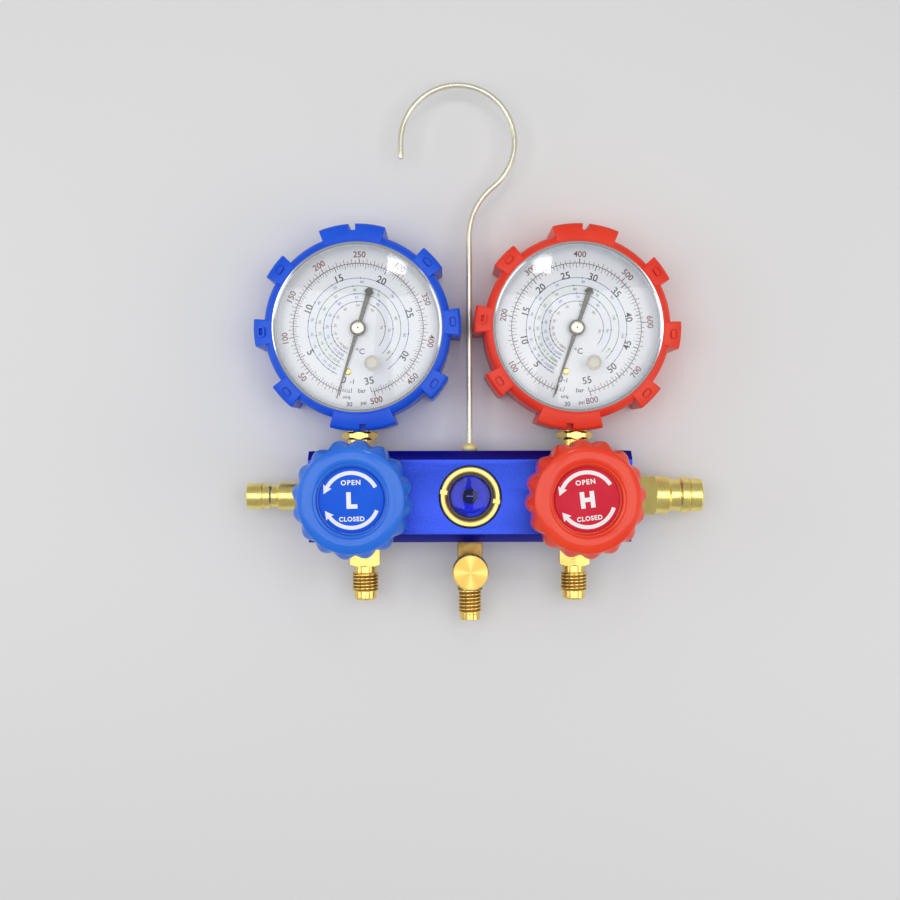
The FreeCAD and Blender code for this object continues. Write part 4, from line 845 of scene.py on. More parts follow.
@dataclass
class HosePort(Half):
    """A hose port: hexagon, neck, threaded barrel and plain nose."""

    flats: float = 14.0
    hex_length: float = 11.9
    neck: float = 5.2
    thread: float = 6.35
    thread_zone: Pair = (15.2, 23.9)
    nose: float = 5.3
    nose_end: float = 27.5
    tip: float = 0.8
    bore: float = 2.6
    pitch: float = 1.59
    thread_depth: float = 0.95

    def build(self) -> None:
        """Turns the port, cuts its flats and winds its thread."""
        low, high = self.thread_zone
        corner = corner_radius(self.flats)
        top = self.nose_end + self.tip
        shape = Shape().lathe([
            (self.bore, SPIGOT_END), (SPIGOT, SPIGOT_END), (SPIGOT, 0), (corner, 0),
            (corner, self.hex_length), (self.neck, self.hex_length), (self.neck, low), (self.thread, low),
            (self.thread, high), (self.nose, high), (self.nose, self.nose_end), (self.nose - self.tip, top),
            (self.bore + 0.5, top), (self.bore, top - 0.5)], 120, 0.14, 0.1)
        shape.reshape(hexagon_rule(self.flats, 0, self.hex_length, 0.9))
        shape.reshape(thread_rule(self.thread, self.thread_depth, self.pitch, low + 0.1, high - 0.1))
        x = middle(f"{self.name}_port").x
        shape.piece(f"{self.name}_hose_port", at(x, -BLOCK_SIDE, 0, Facing.FRONT, 30.0), BRASS_FRONT, "brass",
                    f"{self.name}_port", smooth=52)
        groove_shade_sleeve(self.thread, low, high).piece(
            f"{self.name}_port_groove", at(x, -BLOCK_SIDE, 0, Facing.FRONT), GROOVE_SHADE_BRASS, "brass")


@dataclass
class ChargePort:
    """The middle port: square body, slim thread, and the side branch under its cap."""

    square: float = 11.7
    square_length: float = 23.1
    thread: float = 5.55
    thread_zone: Pair = (23.8, 34.2)
    nose: float = 4.8
    nose_end: float = 37.9
    neck: float = 4.6
    bore: float = 2.3
    pitch: float = 1.69
    thread_depth: float = 0.95
    branch_y: float = -35.0
    collar: Pair = (5.7, 11.2)
    branch: Pair = (5.2, 16.8)
    branch_thread: Pair = (0.4, 1.06)
    cap_radius: float = 8.5
    cap_low: float = 11.75
    cap_high: float = 19.75
    knurls: int = 66
    knurl_depth: float = 0.28
    knurl_lean: float = 1.15

    def build(self) -> None:
        """Builds the port and its cap."""
        half = self.square / 2
        place = at(0, -BLOCK_SIDE, 0, Facing.FRONT)
        Shape().prism([(-half, -half), (half, -half), (half, half), (-half, half)], 0,
                      self.square_length).bevel(0.35, 3).piece(
                          "charge_body", place, MILLED_BRASS, "brass", "charge_port")
        low, high = self.thread_zone
        barrel = Shape().lathe([
            (self.bore, SPIGOT_END), (SPIGOT, SPIGOT_END), (SPIGOT, 0.5), (self.neck, 0.5), (self.neck, low),
            (self.thread, low), (self.thread, high), (self.neck, high), (self.neck, high + 1),
            (self.nose, high + 1), (self.nose, self.nose_end), (self.bore + 0.5, self.nose_end),
            (self.bore, self.nose_end - 0.5)], 120, 0.14, 0.1)
        barrel.reshape(thread_rule(self.thread, self.thread_depth, self.pitch, low + 0.1, high - 0.1))
        (wide, step), (slim, top) = self.collar, self.branch
        stem = Shape().lathe([(0, half - 0.5), (wide, half - 0.5), (wide, step), (slim, step), (slim, top),
                              (2.6, top), (2.6, 7.8), (0, 7.8)], 72, 0.12, 0.2)
        stem.reshape(thread_rule(slim, *self.branch_thread, step + 0.3, top - 0.2))
        barrel.join(stem, Facing.FRONT.value.inverted() @ shifted(0, self.branch_y + BLOCK_SIDE))
        barrel.piece("charge_barrel", place, BRASS_FRONT, "brass", smooth=52)
        groove_shade_sleeve(self.thread, low, high).piece("charge_groove_shade", place, GROOVE_SHADE_BRASS, "brass")
        self.build_cap()

    def build_cap(self) -> None:
        """Turns the cap, knurls its rim and gives its face the rings of a facing cut."""
        low, high = self.cap_low, self.cap_high
        radius = self.cap_radius
        inner = self.branch[0] + 0.05
        cap = Shape().lathe([
            (inner, low), (radius - 0.5, low), (radius, low + 0.5), (radius, high - 0.9),
            (radius - 0.45, high - 0.35), (radius - 0.5, high - 0.1), (inner, high - 0.1), (0, high - 0.1),
            (0, high - 1.75), (inner, high - 1.75)], self.knurls * 4, 0, 0.55)

        def knurl(here: float, angle: float, height: float) -> float:
            """Cuts crossed grooves into the rim."""
            if here < radius - 1e-3:
                return here
            lean = (height - low) * self.knurl_lean / radius
            first = abs(math.sin((angle + lean) * self.knurls / 2))
            second = abs(math.sin((angle - lean) * self.knurls / 2))
            return here - self.knurl_depth * (1.0 - min(first, second)) ** 2

        place = at(0, self.branch_y)
        cap.reshape(knurl).piece("cap_body", place, BRASS_UP, "brass", "charge_cap", "charge_cap")
        face = Shape().lathe([(0, high - 0.3), (radius - 0.5, high - 0.3), (radius - 0.5, high - 0.22),
                              (radius - 0.72, high), (0, high)], 128)
        # The first tone is the painted highlight of the cap face, the second the tone between its arms.
        finish = TurnedFace("cap_face_brass_painted_highlight", screen(246, 218, 126), screen(212, 168, 78),
                            tuple(place.translation * MM))
        face.piece("cap_face", place, finish, "brass", body="charge_cap")


@dataclass
class Nipple(Half):
    """A parking nipple at one end of the block, drawn by its steps from the block outwards."""

    outline: Corners
    recess: Pair = (3.2, 5.0)
    flats: float = 0.0
    hex_zone: Pair = (0.0, 0.0)

    def build(self) -> None:
        """Turns the nipple and cuts its flats, where it has them."""
        radius, top = self.outline[-1]
        bore, depth = self.recess
        shape = Shape().lathe([
            (0, SPIGOT_END), (SPIGOT, SPIGOT_END), (SPIGOT, 0), *self.outline[:-1], (radius, top - 0.6),
            (radius - 0.6, top), (bore + 0.4, top), (bore, top - 0.4), (bore, top - depth), (0, top - depth)],
            96, 0.18, 0.35)
        if self.flats:
            shape.reshape(hexagon_rule(self.flats, *self.hex_zone, 0.8))
        place = (at(-BLOCK_END, facing=Facing.LOW_END) if self.side is Side.LOW
                 else at(BLOCK_END, facing=Facing.HIGH_END))
        shape.piece(f"{self.name}_nipple", place, END_BRASS, "brass", f"{self.name}_parking_nipple")


def nipples() -> list[Nipple]:
    """The two parking nipples."""
    low = [(5.8, 0.0), (5.8, 4.0), (6.85, 4.0), (6.85, 15.2), (5.4, 16.0), (5.4, 18.8), (6.1, 19.6),
           (6.1, 22.6), (5.5, 22.6), (5.5, 23.3), (6.3, 23.3), (6.3, 30.7)]
    flats, zone = 18.0, (5.0, 12.7)
    corner = corner_radius(flats)
    high = [(7.0, 0.0), (7.0, zone[0]), (corner, zone[0]), (corner, zone[1]), (9.0, zone[1]), (9.0, 18.9),
            (7.55, 19.9), (7.55, 24.5), (8.5, 25.3), (8.5, 28.8), (7.2, 28.8), (7.2, 29.4), (8.0, 29.4),
            (8.0, 35.2)]
    return [Nipple(Side.LOW, low), Nipple(Side.HIGH, high, flats=flats, hex_zone=zone)]


@dataclass
class Hook:
    """The hanging hook of bright wire and the ferrule that it swivels in."""

    wire: float = 1.4
    bow: float = 27.3
    bow_centre: Pair = (-5.4, 169.5)
    sweep: float = 30.0
    end: float = 8.0
    head: float = 19.45

    def build(self) -> None:
        """Bends the wire and turns the ferrule."""
        x, y = self.bow_centre
        rise = math.sqrt((self.bow + self.sweep) ** 2 - (self.sweep - x) ** 2)
        side_y = y - rise
        lean = math.atan2(y - side_y, x - self.sweep)
        root = shifted(0, self.head) @ Facing.HOOK.value
        shape = Shape()
        ring = bmesh.ops.create_circle(shape.bm, cap_ends=False, radius=self.wire, segments=24, matrix=root)
        edges = list({edge for vert in ring["verts"] for edge in vert.link_edges})
        bmesh.ops.contextual_create(shape.bm, geom=edges)
        edges = self.straight(shape, edges, side_y - self.head, 12)
        edges = self.bend(shape, edges, (self.sweep, side_y), lean - math.pi, 14)
        edges = self.bend(shape, edges, (x, y), math.pi - (lean - math.pi), 72)
        edges = self.straight(shape, edges, -self.end + 0.6, 3)
        for shrink, move in ((0.93, 0.3), (0.72, 0.22), (0.3, 0.08)):
            edges = self.straight(shape, edges, -move, 1)
            verts = list({vert for edge in edges for vert in edge.verts})
            centre = sum((vert.co for vert in verts), Vector()) / len(verts)
            for vert in verts:
                vert.co = centre + (vert.co - centre) * shrink
        bmesh.ops.contextual_create(shape.bm, geom=edges)
        shape.settle().join(Shape().lathe([(0, -4), (2.3, -4), (2.3, 0), (0, 0)], 32, 0.2), root)
        shape.piece("hook_bow", at(), STEEL, "hook_wire", "hook", "hook")
        Shape().lathe([
            (2.35, -7.0), (3.0, -7.0), (3.0, 0.0), (3.3, 0.0), (3.7, 0.6), (3.8, 1.4), (3.6, 2.2), (3.0, 3.0),
            (2.3, 3.6), (1.7, 3.8), (1.45, 3.8), (1.45, -2.0), (2.35, -2.0)], 64, 0.2).piece(
                "ferrule_collar", at(0, BLOCK_SIDE, 0, Facing.HOOK), PALE_BRASS_PAINTED_HIGHLIGHT, "brass", "hook_ferrule")

    def straight(self, shape: Shape, edges: list, length: float, steps: int) -> list:
        """Draws the wire's end ring out along Y and gives the new end ring back."""
        for _ in range(steps):
            made = bmesh.ops.extrude_edge_only(shape.bm, edges=edges)["geom"]
            verts = [part for part in made if isinstance(part, bmesh.types.BMVert)]
            edges = [part for part in made if isinstance(part, bmesh.types.BMEdge)
                     and all(vert in verts for vert in part.verts)]
            bmesh.ops.translate(shape.bm, verts=verts, vec=Vector((0, length, 0)) / steps)
        return edges

    def bend(self, shape: Shape, edges: list, centre: Pair, angle: float, steps: int) -> list:
        """Bends the wire's end ring about a centre and gives the new end ring back."""
        return [part for part in shape.spin(edges, angle, steps, centre)
                if isinstance(part, bmesh.types.BMEdge)]


@dataclass
class Valve(Half):
    """One piston valve: bonnet, handwheel and its label."""

    letter: str
    label_turn: float
    wheel_turn: float
    lobes: int = 16
    outer: float = 27.1
    root: float = 24.9
    lobe_start: float = 24.0
    fullness: float = 0.6
    wall: float = 2.4
    well_depth: float = 4.6
    crest: float = 20.0
    recess: float = 15.5
    label_radius: float = 14.6
    dome: float = 0.7
    band: float = 1.75
    open_arc: Pair = (27, 151)
    closed_arc: Pair = (-23, -145)
    nut_flats: float = 17.0
    nut_height: float = 6.0

    def build(self) -> None:
        """Builds every piece of the valve."""
        self.x = middle(f"{self.name}_handwheel").x
        self.build_wheel()
        self.build_label()
        self.build_bonnet()

    def build_wheel(self) -> None:
        """Turns the wheel's section and pushes its skirt out to the lobes."""
        box_low, box_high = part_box(f"{self.name}_handwheel")
        top = (box_high.z - box_low.z) / MM
        floor = top - self.well_depth
        rim = self.root - self.wall
        shape = Shape().lathe([
            (3.55, 0), (7.0, 0), (7.6, floor - 2.6), (rim - 0.8, floor - 2.6), (rim, 0),
            (self.outer - 0.7, 0), (self.outer, 0.9), (self.outer, top - 8.2), (self.outer - 0.25, top - 6.4),
            (26.3, top - 4.9), (25.5, top - 3.7), (24.7, top - 2.6), (24.1, top - 1.7), (23.75, top - 1.1),
            (23.5, top - 0.8), (22.6, top - 0.5), (21.4, top - 0.2), (self.crest, top), (18.4, top),
            (17.3, top - 0.2), (16.9, top - 0.42), (16.75, top - 0.9), (16.3, top - 1.0),
            (15.8, top - 1.15), (self.recess, top - 1.6), (self.recess, floor), (5.0, floor),
            (5.0, floor - 5.5), (2.0, floor - 5.5), (2.0, 8.05), (3.55, 8.05)], self.lobes * 16, 0.05)

        def lobe(here: float, angle: float, height: float) -> float:
            """Draws the skirt in between the lobes."""
            swell = (0.5 + 0.5 * math.cos(angle * self.lobes)) ** self.fullness
            share = limited((here - self.lobe_start) / (self.outer - self.lobe_start))
            return here - (self.outer - self.root) * (1.0 - swell) * share

        base = box_low.z / MM - block_middle().z
        shape.reshape(lobe).piece(
            f"{self.name}_wheel", at(self.x, 0, base, turn=self.wheel_turn), WHEELS[self.side],
            f"{self.name}_wheel", f"{self.name}_handwheel", f"{self.name}_knob", 24)

    def build_label(self) -> None:
        """Builds the domed label and its white printing."""
        radius = self.label_radius
        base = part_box(f"{self.name}_knob_label")[0].z / MM - block_middle().z
        place = at(self.x, 0, base, turn=self.label_turn)
        slot, body = f"{self.name}_label", f"{self.name}_knob"
        dome = [(radius * share, 1.0 + self.dome * (1 - share ** 2))
                for share in (0.97, 0.9, 0.8, 0.68, 0.55, 0.42, 0.28, 0.14, 0.0)]
        Shape().lathe([(0, 0), (radius, 0), (radius, 0.8), (radius * 0.99, 0.95)] + dome, 128).piece(
            f"{self.name}_label_disc", place, LABELS[self.side], slot, f"{self.name}_knob_label", body)
        ring = radius * 0.835
        words = Shape()
        for start, end in (self.open_arc, self.closed_arc):
            words.join(arc_band(ring, self.band, start, end))
        for angle, turn in ((self.open_arc[1], 90), (self.closed_arc[1], -90)):
            words.join(self.arrow(), spun(angle) @ shifted(ring) @ spun(turn))
        words.join(lettering("OPEN", 3.0, 0.1, spacing=1.24), shifted(0, 7.9))
        words.join(lettering("CLOSED", 2.8, 0.1, spacing=1.14), shifted(0, -8.3))
        words.join(lettering(self.letter, 9.2, 0.56))
        bmesh.ops.triangulate(words.bm, faces=words.bm.faces[:])
        for _ in range(2):
            long_edges = [edge for edge in words.bm.edges if edge.calc_length() > 2.0]
            bmesh.ops.subdivide_edges(words.bm, edges=long_edges, cuts=1)
            bmesh.ops.triangulate(words.bm, faces=words.bm.faces[:])
        for vert in words.bm.verts:
            share = math.hypot(vert.co.x, vert.co.y) / radius
            vert.co.z = 1.05 + self.dome * (1 - share ** 2)
        words.piece(f"{self.name}_label_print", place, LABEL_WHITE, slot, body=body)

    def arrow(self) -> Shape:
        """An arrowhead that points along +X."""
        shape = Shape()
        shape.bm.faces.new([shape.bm.verts.new(spot) for spot in
                            ((-0.6, -2.1, 0), (3.2, 0, 0), (-0.6, 2.1, 0), (-0.1, 0, 0))])
        return shape

    def build_bonnet(self) -> None:
        """Builds the bonnet's hexagon and neck."""
        corner, top = corner_radius(self.nut_flats), self.nut_height
        Shape().lathe([(4.05, -9), (6.45, -9), (6.45, 0), (corner, 0), (corner, top), (6.2, top), (6.2, 8.2),
                       (4.05, 8.2)], 96, 0.15, 0.5).reshape(hexagon_rule(self.nut_flats, 0, top, 0.9)).piece(
                           f"{self.name}_bonnet_nut", at(self.x, 0, BLOCK_FRONT), BRASS_UP, "brass",
                           f"{self.name}_bonnet")


@dataclass
class Scale:
    """One printed scale of a dial."""

    zero_angle: float
    per_unit: float
    first: float
    last: float
    step: float
    longer: float
    inner: float
    outer: float
    ink: Ink
    grows_in: bool = False
    labels: Sequence[float] = ()
    label_radius: float = 0.0
    label_size: float = 0.0
    thin: float = 0.27
    major: float = 0.0

    def angle(self, value: float) -> float:
        """The dial angle in degrees of a value."""
        return self.zero_angle - value * self.per_unit


@dataclass
class Ring:
    """One temperature ring of a dial: its line's radius and end, and the growth of its numbers' steps."""

    radius: float
    ink: Ink
    tight: float
    end: float
    warm: float


@dataclass
class Gauge(Half):
    """One gauge: boot, shells, window, dial, pointer, stem and works."""

    boot_turn: float
    pointer_angle: float
    scales: Sequence[Scale]
    rings: Sequence[Ring]
    case_radius: float = 41.0
    dial_top: float = 9.2
    bezel_top: float = 16.45
    crest: float = 48.6
    outside: float = 43.8
    inside: float = 41.7
    floor: float = -15.0
    lug_front: float = 14.5
    stem_flats: float = 15.0
    stem_hexagon: Pair = (5.6, 9.0)
    stem_neck: float = 6.1
    socket: Pair = (14.0, 11.0)
    socket_end: float = 25.0
    lens_rim: float = 38.35
    small_lugs: Sequence[float] = (0, 39.5, -39.5, 180, 140.5, 219.5)
    small_span: float = 15.3
    large_span: float = 37.6
    notch: Pair = (4.6, 3.1)
    ring_start: float = 9.0
    words: Sequence[tuple[str, float, float, float]] = (
        ("bar", 1.6, -29.4, 2.9), ("psi", 2.4, -35.4, 2.6), ("°C", 0.9, -10.8, 3.8),
        ("inHg", -5.6, -32.6, 1.9), ("30", -4.4, -35.8, 2.9))

    def build(self) -> None:
        """Builds every piece of the gauge."""
        spot = middle(f"{self.name}_dial")
        self.x, self.y = spot.x, spot.y
        self.build_boot()
        self.build_shells()
        self.build_window()
        self.build_dial()
        self.build_print()
        self.build_pointer()
        self.build_stem()
        self.build_works()

    def here(self, turn: float = 0.0) -> Matrix:
        """The gauge's own place."""
        return at(self.x, self.y, turn=turn)

    def build_boot(self) -> None:
        """Turns the boot, adds its lugs and cuts the way out for the stem."""
        lip = 17.4
        wall = self.inside - 8.0
        shape = Shape().lathe([
            (wall, self.floor), (self.outside - 1.5, self.floor), (self.outside, self.floor + 1.5),
            (self.outside, 13.0), (self.outside - 0.4, 14.6), (self.outside - 1.4, 15.9), (41.2, lip - 0.5),
            (40.2, lip - 0.1), (39.8, lip - 0.25), (39.7, 16.5), (self.inside, 16.5),
            (self.inside, self.floor + 2.4), (wall, self.floor + 2.4)], 216, 0.25)
        shape.carve(self.stem_opening())
        for angle in self.small_lugs:
            shape.join(self.lug(angle, self.small_span, 8).carve(self.lug_mark(angle)))
        for angle, height, depth in ((90, 0.0, 60.0), (270, 14.5, 9.0)):
            notch = Shape().box((self.crest - 1.0, 0, height), (*self.notch, depth)).move(spun(angle))
            lug = self.lug(angle, self.large_span, 18).carve(notch)
            shape.join(lug.carve(self.stem_opening()) if angle == 270 else lug)
        shape.piece(f"{self.name}_boot", self.here(self.boot_turn), BOOTS[self.side], f"{self.name}_boot",
                    f"{self.name}_gauge_boot")

    def stem_opening(self) -> Shape:
        """The cutter of the stem's way out."""
        return Shape().box((0, -(self.crest - 6.0), -4.2), (19.0, 14.0, 23.6)).move(spun(-self.boot_turn))

    def lug(self, angle: float, span: float, steps: int) -> Shape:
        """One lug of the boot's rim, with softened edges."""
        front, foot = self.lug_front, self.outside - 1.2
        return Shape().sector([
            (foot, self.floor), (self.crest, self.floor), (self.crest, front),
            (self.crest - 1.2, front + 1.3), (40.6, front + 2.7), (40.6, front + 2.0), (foot, front - 1.0)],
            angle - span / 2, span, steps).bevel(0.8, 3)

    def lug_mark(self, angle: float) -> Shape:
        """The cutter of the oblong groove in a lug's front."""
        inner = self.oblong(1.9, 3.5, self.lug_front - 1.0, self.lug_front + 5)
        outer = self.oblong(3.2, 4.8, self.lug_front + 0.6, self.lug_front + 4)
        return outer.carve(inner).move(spun(angle) @ shifted(44.7))

    def oblong(self, width: float, length: float, low: float, high: float) -> Shape:
        """A rounded oblong prism."""
        half, reach, round_by = width / 2, length / 2, width * 0.36
        outline = []
        for sx, sy, start in ((1, 1, 0), (-1, 1, 90), (-1, -1, 180), (1, -1, 270)):
            for turn in (0, 45, 90):
                angle = math.radians(start + turn)
                outline.append((sx * (half - round_by) + round_by * math.cos(angle),
                                sy * (reach - round_by) + round_by * math.sin(angle)))
        return Shape().prism(outline, low, high)

    def build_shells(self) -> None:
        """Turns the case and the bezel with its inner ring."""
        drill = Shape().lathe([(0, 0), (6.15, 0), (6.15, 12), (0, 12)], 48).move(
            shifted(0, -46) @ Facing.HOOK.value)
        Shape().lathe([(0, -12.5), (39.8, -12.5), (41, -11.3), (41, 8.6), (40, 8.6), (40, -11.3), (0, -11.3)],
                      144, 0.25).carve(drill).piece(
                          f"{self.name}_case_shell", self.here(), CASE_BLACK, "gauge_case",
                          f"{self.name}_gauge_case")
        top = self.bezel_top
        Shape().lathe([
            (41.05, 6.8), (41.65, 6.8), (41.65, top - 0.6), (41.05, top), (39.9, top), (39.2, top - 0.3),
            (38.6, top - 0.74), (38.45, top - 0.8), (41.05, top - 0.8), (41.05, 13.45),
            (39.5, 13.45), (38.7, 9.5), (38.7, 9.25), (41.05, 9.25)], 192, 0.06).piece(
                f"{self.name}_bezel_ring", self.here(), CHROME, "bezel", f"{self.name}_bezel")

    def build_window(self) -> None:
        """Turns the domed window and its plug."""
        rim, under_rim = self.lens_rim, self.lens_rim - 0.75
        shares = (0.96, 0.88, 0.76, 0.62, 0.48, 0.34, 0.18)
        dome = [(rim * share, 17.0 + 3.2 * (1 - share ** 2)) for share in shares]
        under = [(under_rim * share, 15.4 + 2.94 * (1 - share ** 2)) for share in reversed(shares)]
        Shape().lathe([(under_rim, 13.5), (41, 13.5), (41, 15.6), (rim, 15.6), (rim, 16.8), (rim - 0.2, 17.0),
                       *dome, (0, 20.2), (0, 18.34), *under, (under_rim, 15.4)], 144).piece(
                           f"{self.name}_window", self.here(), GAUGE_WINDOW, "lens", f"{self.name}_lens",
                           smooth=50)
        node = f"{self.name}_lens_plug"
        spot = middle(node)
        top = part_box(node)[1].z / MM - block_middle().z
        Shape().lathe([
            (0, -3.2), (2.35, -3.2), (2.35, -0.95), (3.6, -0.95), (3.6, -0.4), (3.35, -0.12), (3.0, -0.1),
            (2.9, -0.55), (2.6, -0.55), (2.5, -0.1), (1.6, 0), (0, 0)], 64, 0.05).piece(
                f"{self.name}_plug", at(spot.x, spot.y, top), PLUG_SILICONE, "lens_plug", node)

    def build_dial(self) -> None:
        """Turns the dial plate and its screw."""
        centre = self.here().translation * MM
        finish = DialPlate(f"{self.name}_dial_plate", (centre.x, centre.y, 0.0))
        Shape().lathe([(1.8, 8.6), (41, 8.6), (41, 9.2), (1.8, 9.2)], 144, 0.08).piece(
            f"{self.name}_dial_face", self.here(), finish, "dial", f"{self.name}_dial")
        node = f"{self.name}_dial_screw"
        spot = middle(node)
        Shape().lathe([(0, 0), (1.6, 0), (1.6, 0.4), (1.2, 0.7), (0, 0.75)], 40, 0.08).carve(
            Shape().box((0, 0, 0.8), (4, 0.4, 0.5))).piece(
                f"{self.name}_dial_pin", at(spot.x, spot.y, self.dial_top, turn=35), BRASS_UP, "screw_steel",
                node)

    def build_print(self) -> None:
        """Prints the scales, rings and words, one mesh for each ink."""
        layers = {ink: Shape() for ink in Ink}
        for scale in self.scales:
            self.print_scale(layers[scale.ink], scale)
        for ring in self.rings:
            self.print_ring(layers, ring)
        for words, x, y, size in self.words:
            layers[Ink.BLACK].join(lettering(words, size, 0.03), shifted(x, y))
        for ink, shape in layers.items():
            shape.piece(f"{self.name}_print_{ink.name.lower()}",
                        self.here() @ shifted(0, 0, self.dial_top + 0.04), INKS[ink], "dial")

    def tick(self, angle: float, inner: float, outer: float, width: float) -> Shape:
        """One radial tick."""
        shape = Shape()
        bmesh.ops.create_grid(shape.bm, x_segments=1, y_segments=1, size=0.5,
                              matrix=spun(angle) @ shifted((inner + outer) / 2)
                              @ Matrix.Diagonal((outer - inner, width, 1.0, 1.0)))
        return shape

    def print_scale(self, layer: Shape, scale: Scale) -> None:
        """Prints one scale: its ticks, its edge line and its numbers."""
        def falls_on(value: float, spacing: float) -> bool:
            """Whether a value is a whole number of spacings."""
            return abs(value / spacing - round(value / spacing)) < SLACK

        for index in range(round((scale.last - scale.first) / scale.step) + 1):
            value = scale.first + index * scale.step
            span = (scale.outer - scale.inner) * (1.0 if falls_on(value, scale.longer) else 0.62)
            low, high = ((scale.outer - span, scale.outer) if scale.grows_in
                         else (scale.inner, scale.inner + span))
            heavy = scale.major and falls_on(value, scale.major)
            layer.join(self.tick(scale.angle(value), low, high, scale.thin * (1.7 if heavy else 1.0)))
        edge = scale.outer if scale.grows_in else scale.inner
        layer.join(arc_band(edge, 0.15, scale.angle(scale.last), scale.angle(scale.first)))
        for value in scale.labels:
            self.print_word(layer, f"{value:g}", scale.angle(value), scale.label_radius, scale.label_size,
                            0.05)

    def print_word(self, layer: Shape, words: str, angle: float, radius: float, size: float,
                   weight: float = 0.0, fine: int = 3) -> None:
        """Prints a word along the dial's round, head up over the top and head in over the bottom."""
        upright = -90 if -15 < (angle + 90) % 360 - 90 < 191 else 90
        layer.join(lettering(words, size, weight, fine), spun(angle) @ shifted(radius) @ spun(upright))

    def print_ring(self, layers: dict[Ink, Shape], ring: Ring) -> None:
        """Prints one temperature ring: its line, its dots and its small numbers."""
        start = self.scales[0].zero_angle - self.ring_start
        line_ink = Ink.BLACK if ring.ink is Ink.RED else ring.ink
        layers[line_ink].join(arc_band(ring.radius, 0.24, ring.end, start))
        degrees = -30
        while True:
            share = math.exp((degrees + 40) * ring.tight) * ring.warm - ring.warm
            angle = start - share
            if angle < ring.end + 2:
                break
            layers[ring.ink].join(self.tick(angle, ring.radius - 0.35, ring.radius + 0.35, 0.42))
            self.print_word(layers[ring.ink], f"{degrees}", angle - 2, ring.radius - 1.75, 1.75, 0.0, 2)
            degrees += 10

    def build_pointer(self) -> None:
        """Cuts the pointer, its hub, button and centre dot."""
        outline = [(34.7, 0.18), (9.0, 0.78), (3.0, 1.0), (-5.0, 0.9), (-17.0, 1.3), (-17.4, 2.15),
                   (-18.1, 2.1), (-19.7, 0.95), (-20.0, 0.0)]
        outline += [(x, -y) for x, y in reversed(outline[:-1])]
        shape = Shape().prism(outline, 11.0, 11.5).bevel(0.09, 1, 50)
        shape.join(Shape().lathe([(0.95, 11.0), (3.7, 11.0), (3.7, 12.0), (3.2, 12.5), (2.6, 12.5),
                                  (2.6, 12.3), (0.95, 12.3)], 72, 0.08))
        button = Shape().lathe([(0, 12.0), (2.95, 12.4), (2.95, 12.75), (2.5, 13.1), (1.6, 13.2), (0, 13.2)],
                               64, 0.06)
        dot = Shape().lathe([(0, 13.1), (0.45, 13.1), (0.45, 13.24), (0, 13.24)], 32)
        body = f"{self.name}_pointer"
        for name, part, finish, node in (("needle", shape, POINTER_PAINT, body),
                                         ("needle_button", button, BUTTON, ""),
                                         ("needle_dot", dot, DARK_DOT, "")):
            part.piece(f"{self.name}_{name}", self.here(self.pointer_angle), finish, "pointer", node, body)

    def build_stem(self) -> None:
        """Turns the brass stem with its hexagon, and the socket block inside."""
        below = self.y - BLOCK_SIDE
        into = below - self.case_radius + 2.3
        corner = corner_radius(self.stem_flats)
        neck = self.stem_neck
        low, high = self.stem_hexagon
        shape = Shape().lathe([
            (0, SPIGOT_END), (SPIGOT, SPIGOT_END), (SPIGOT, 0), (neck, 0), (neck, low), (corner, low),
            (corner, high), (neck, high), (neck, into), (0, into)], 96, 0.15, 0.4)
        shape.reshape(hexagon_rule(self.stem_flats, low, high, 1.1))
        end = below - self.socket_end
        shape.join(Shape().box((0, 2.0, (into + end) / 2), (*self.socket, end - into)).bevel(0.4))
        shape.piece(f"{self.name}_stem", at(self.x, BLOCK_SIDE, 0, Facing.HOOK), BRASS_FRONT, "brass",
                    f"{self.name}_gauge_stem")

    def build_works(self) -> None:
        """Dresses the works behind the dial, which keep the shapes of their solids."""
        for node in ("pinion_arbor", "sector_gear", "link", "movement_frame"):
            dress(f"{self.name}_{node}", WORKS_BRASS)
        dress(f"{self.name}_bourdon_tube", TUBE_BRONZE)


def dress(node: str, finish: Finish) -> None:
    """Gives a CAD node that stays its finish."""
    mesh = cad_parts[node].data
    mesh.materials.clear()
    mesh.materials.append(finish.material())


def gauges() -> list[Gauge]:
    """The two gauges with their scales."""
    bar, psi = (28.3, 30.6), (30.8, 32.9)
    low = [
        Scale(254.0, 9.5, 0, 35, 0.25, 1, *bar, Ink.BLACK, True, range(0, 36, 5), 25.2, 4.7, 0.19, 5),
        Scale(254.0, 9.5, -1, 0, 0.2, 1, *bar, Ink.BLACK, True, (-1,), 25.2, 3.0),
        Scale(254.0, 0.66, 0, 500, 5, 10, *psi, Ink.RED, False, range(50, 501, 50), 34.9, 4.0, 0.23, 50)]
    high = [
        Scale(252.4, 6.02, 0, 55, 0.5, 1, *bar, Ink.BLACK, True, range(0, 56, 5), 25.2, 4.6, 0.21, 5),
        Scale(252.4, 6.02, -1, 0, 0.5, 1, *bar, Ink.BLACK, True, (-1,), 25.2, 2.8),
        Scale(252.4, 0.413, 0, 800, 10, 50, *psi, Ink.RED, False, range(100, 801, 100), 34.9, 4.0, 0.24, 100)]
    rings = ((23.8, Ink.BLUE, 0.021), (20.1, Ink.GREEN, 0.019), (16.4, Ink.BLUE, 0.022),
             (12.7, Ink.RED, 0.020))
    low_ends = ((-54, 22.0), (-49, 26.0), (-47, 24.0), (-41, 30.0))
    high_ends = ((-49, 14.0), (-47, 17.0), (-44, 15.0), (-38, 20.0))
    return [Gauge(Side.LOW, 3.0, 252.9, low, [Ring(*ring, *end) for ring, end in zip(rings, low_ends)]),
            Gauge(Side.HIGH, -4.7, 251.1, high, [Ring(*ring, *end) for ring, end in zip(rings, high_ends)])]


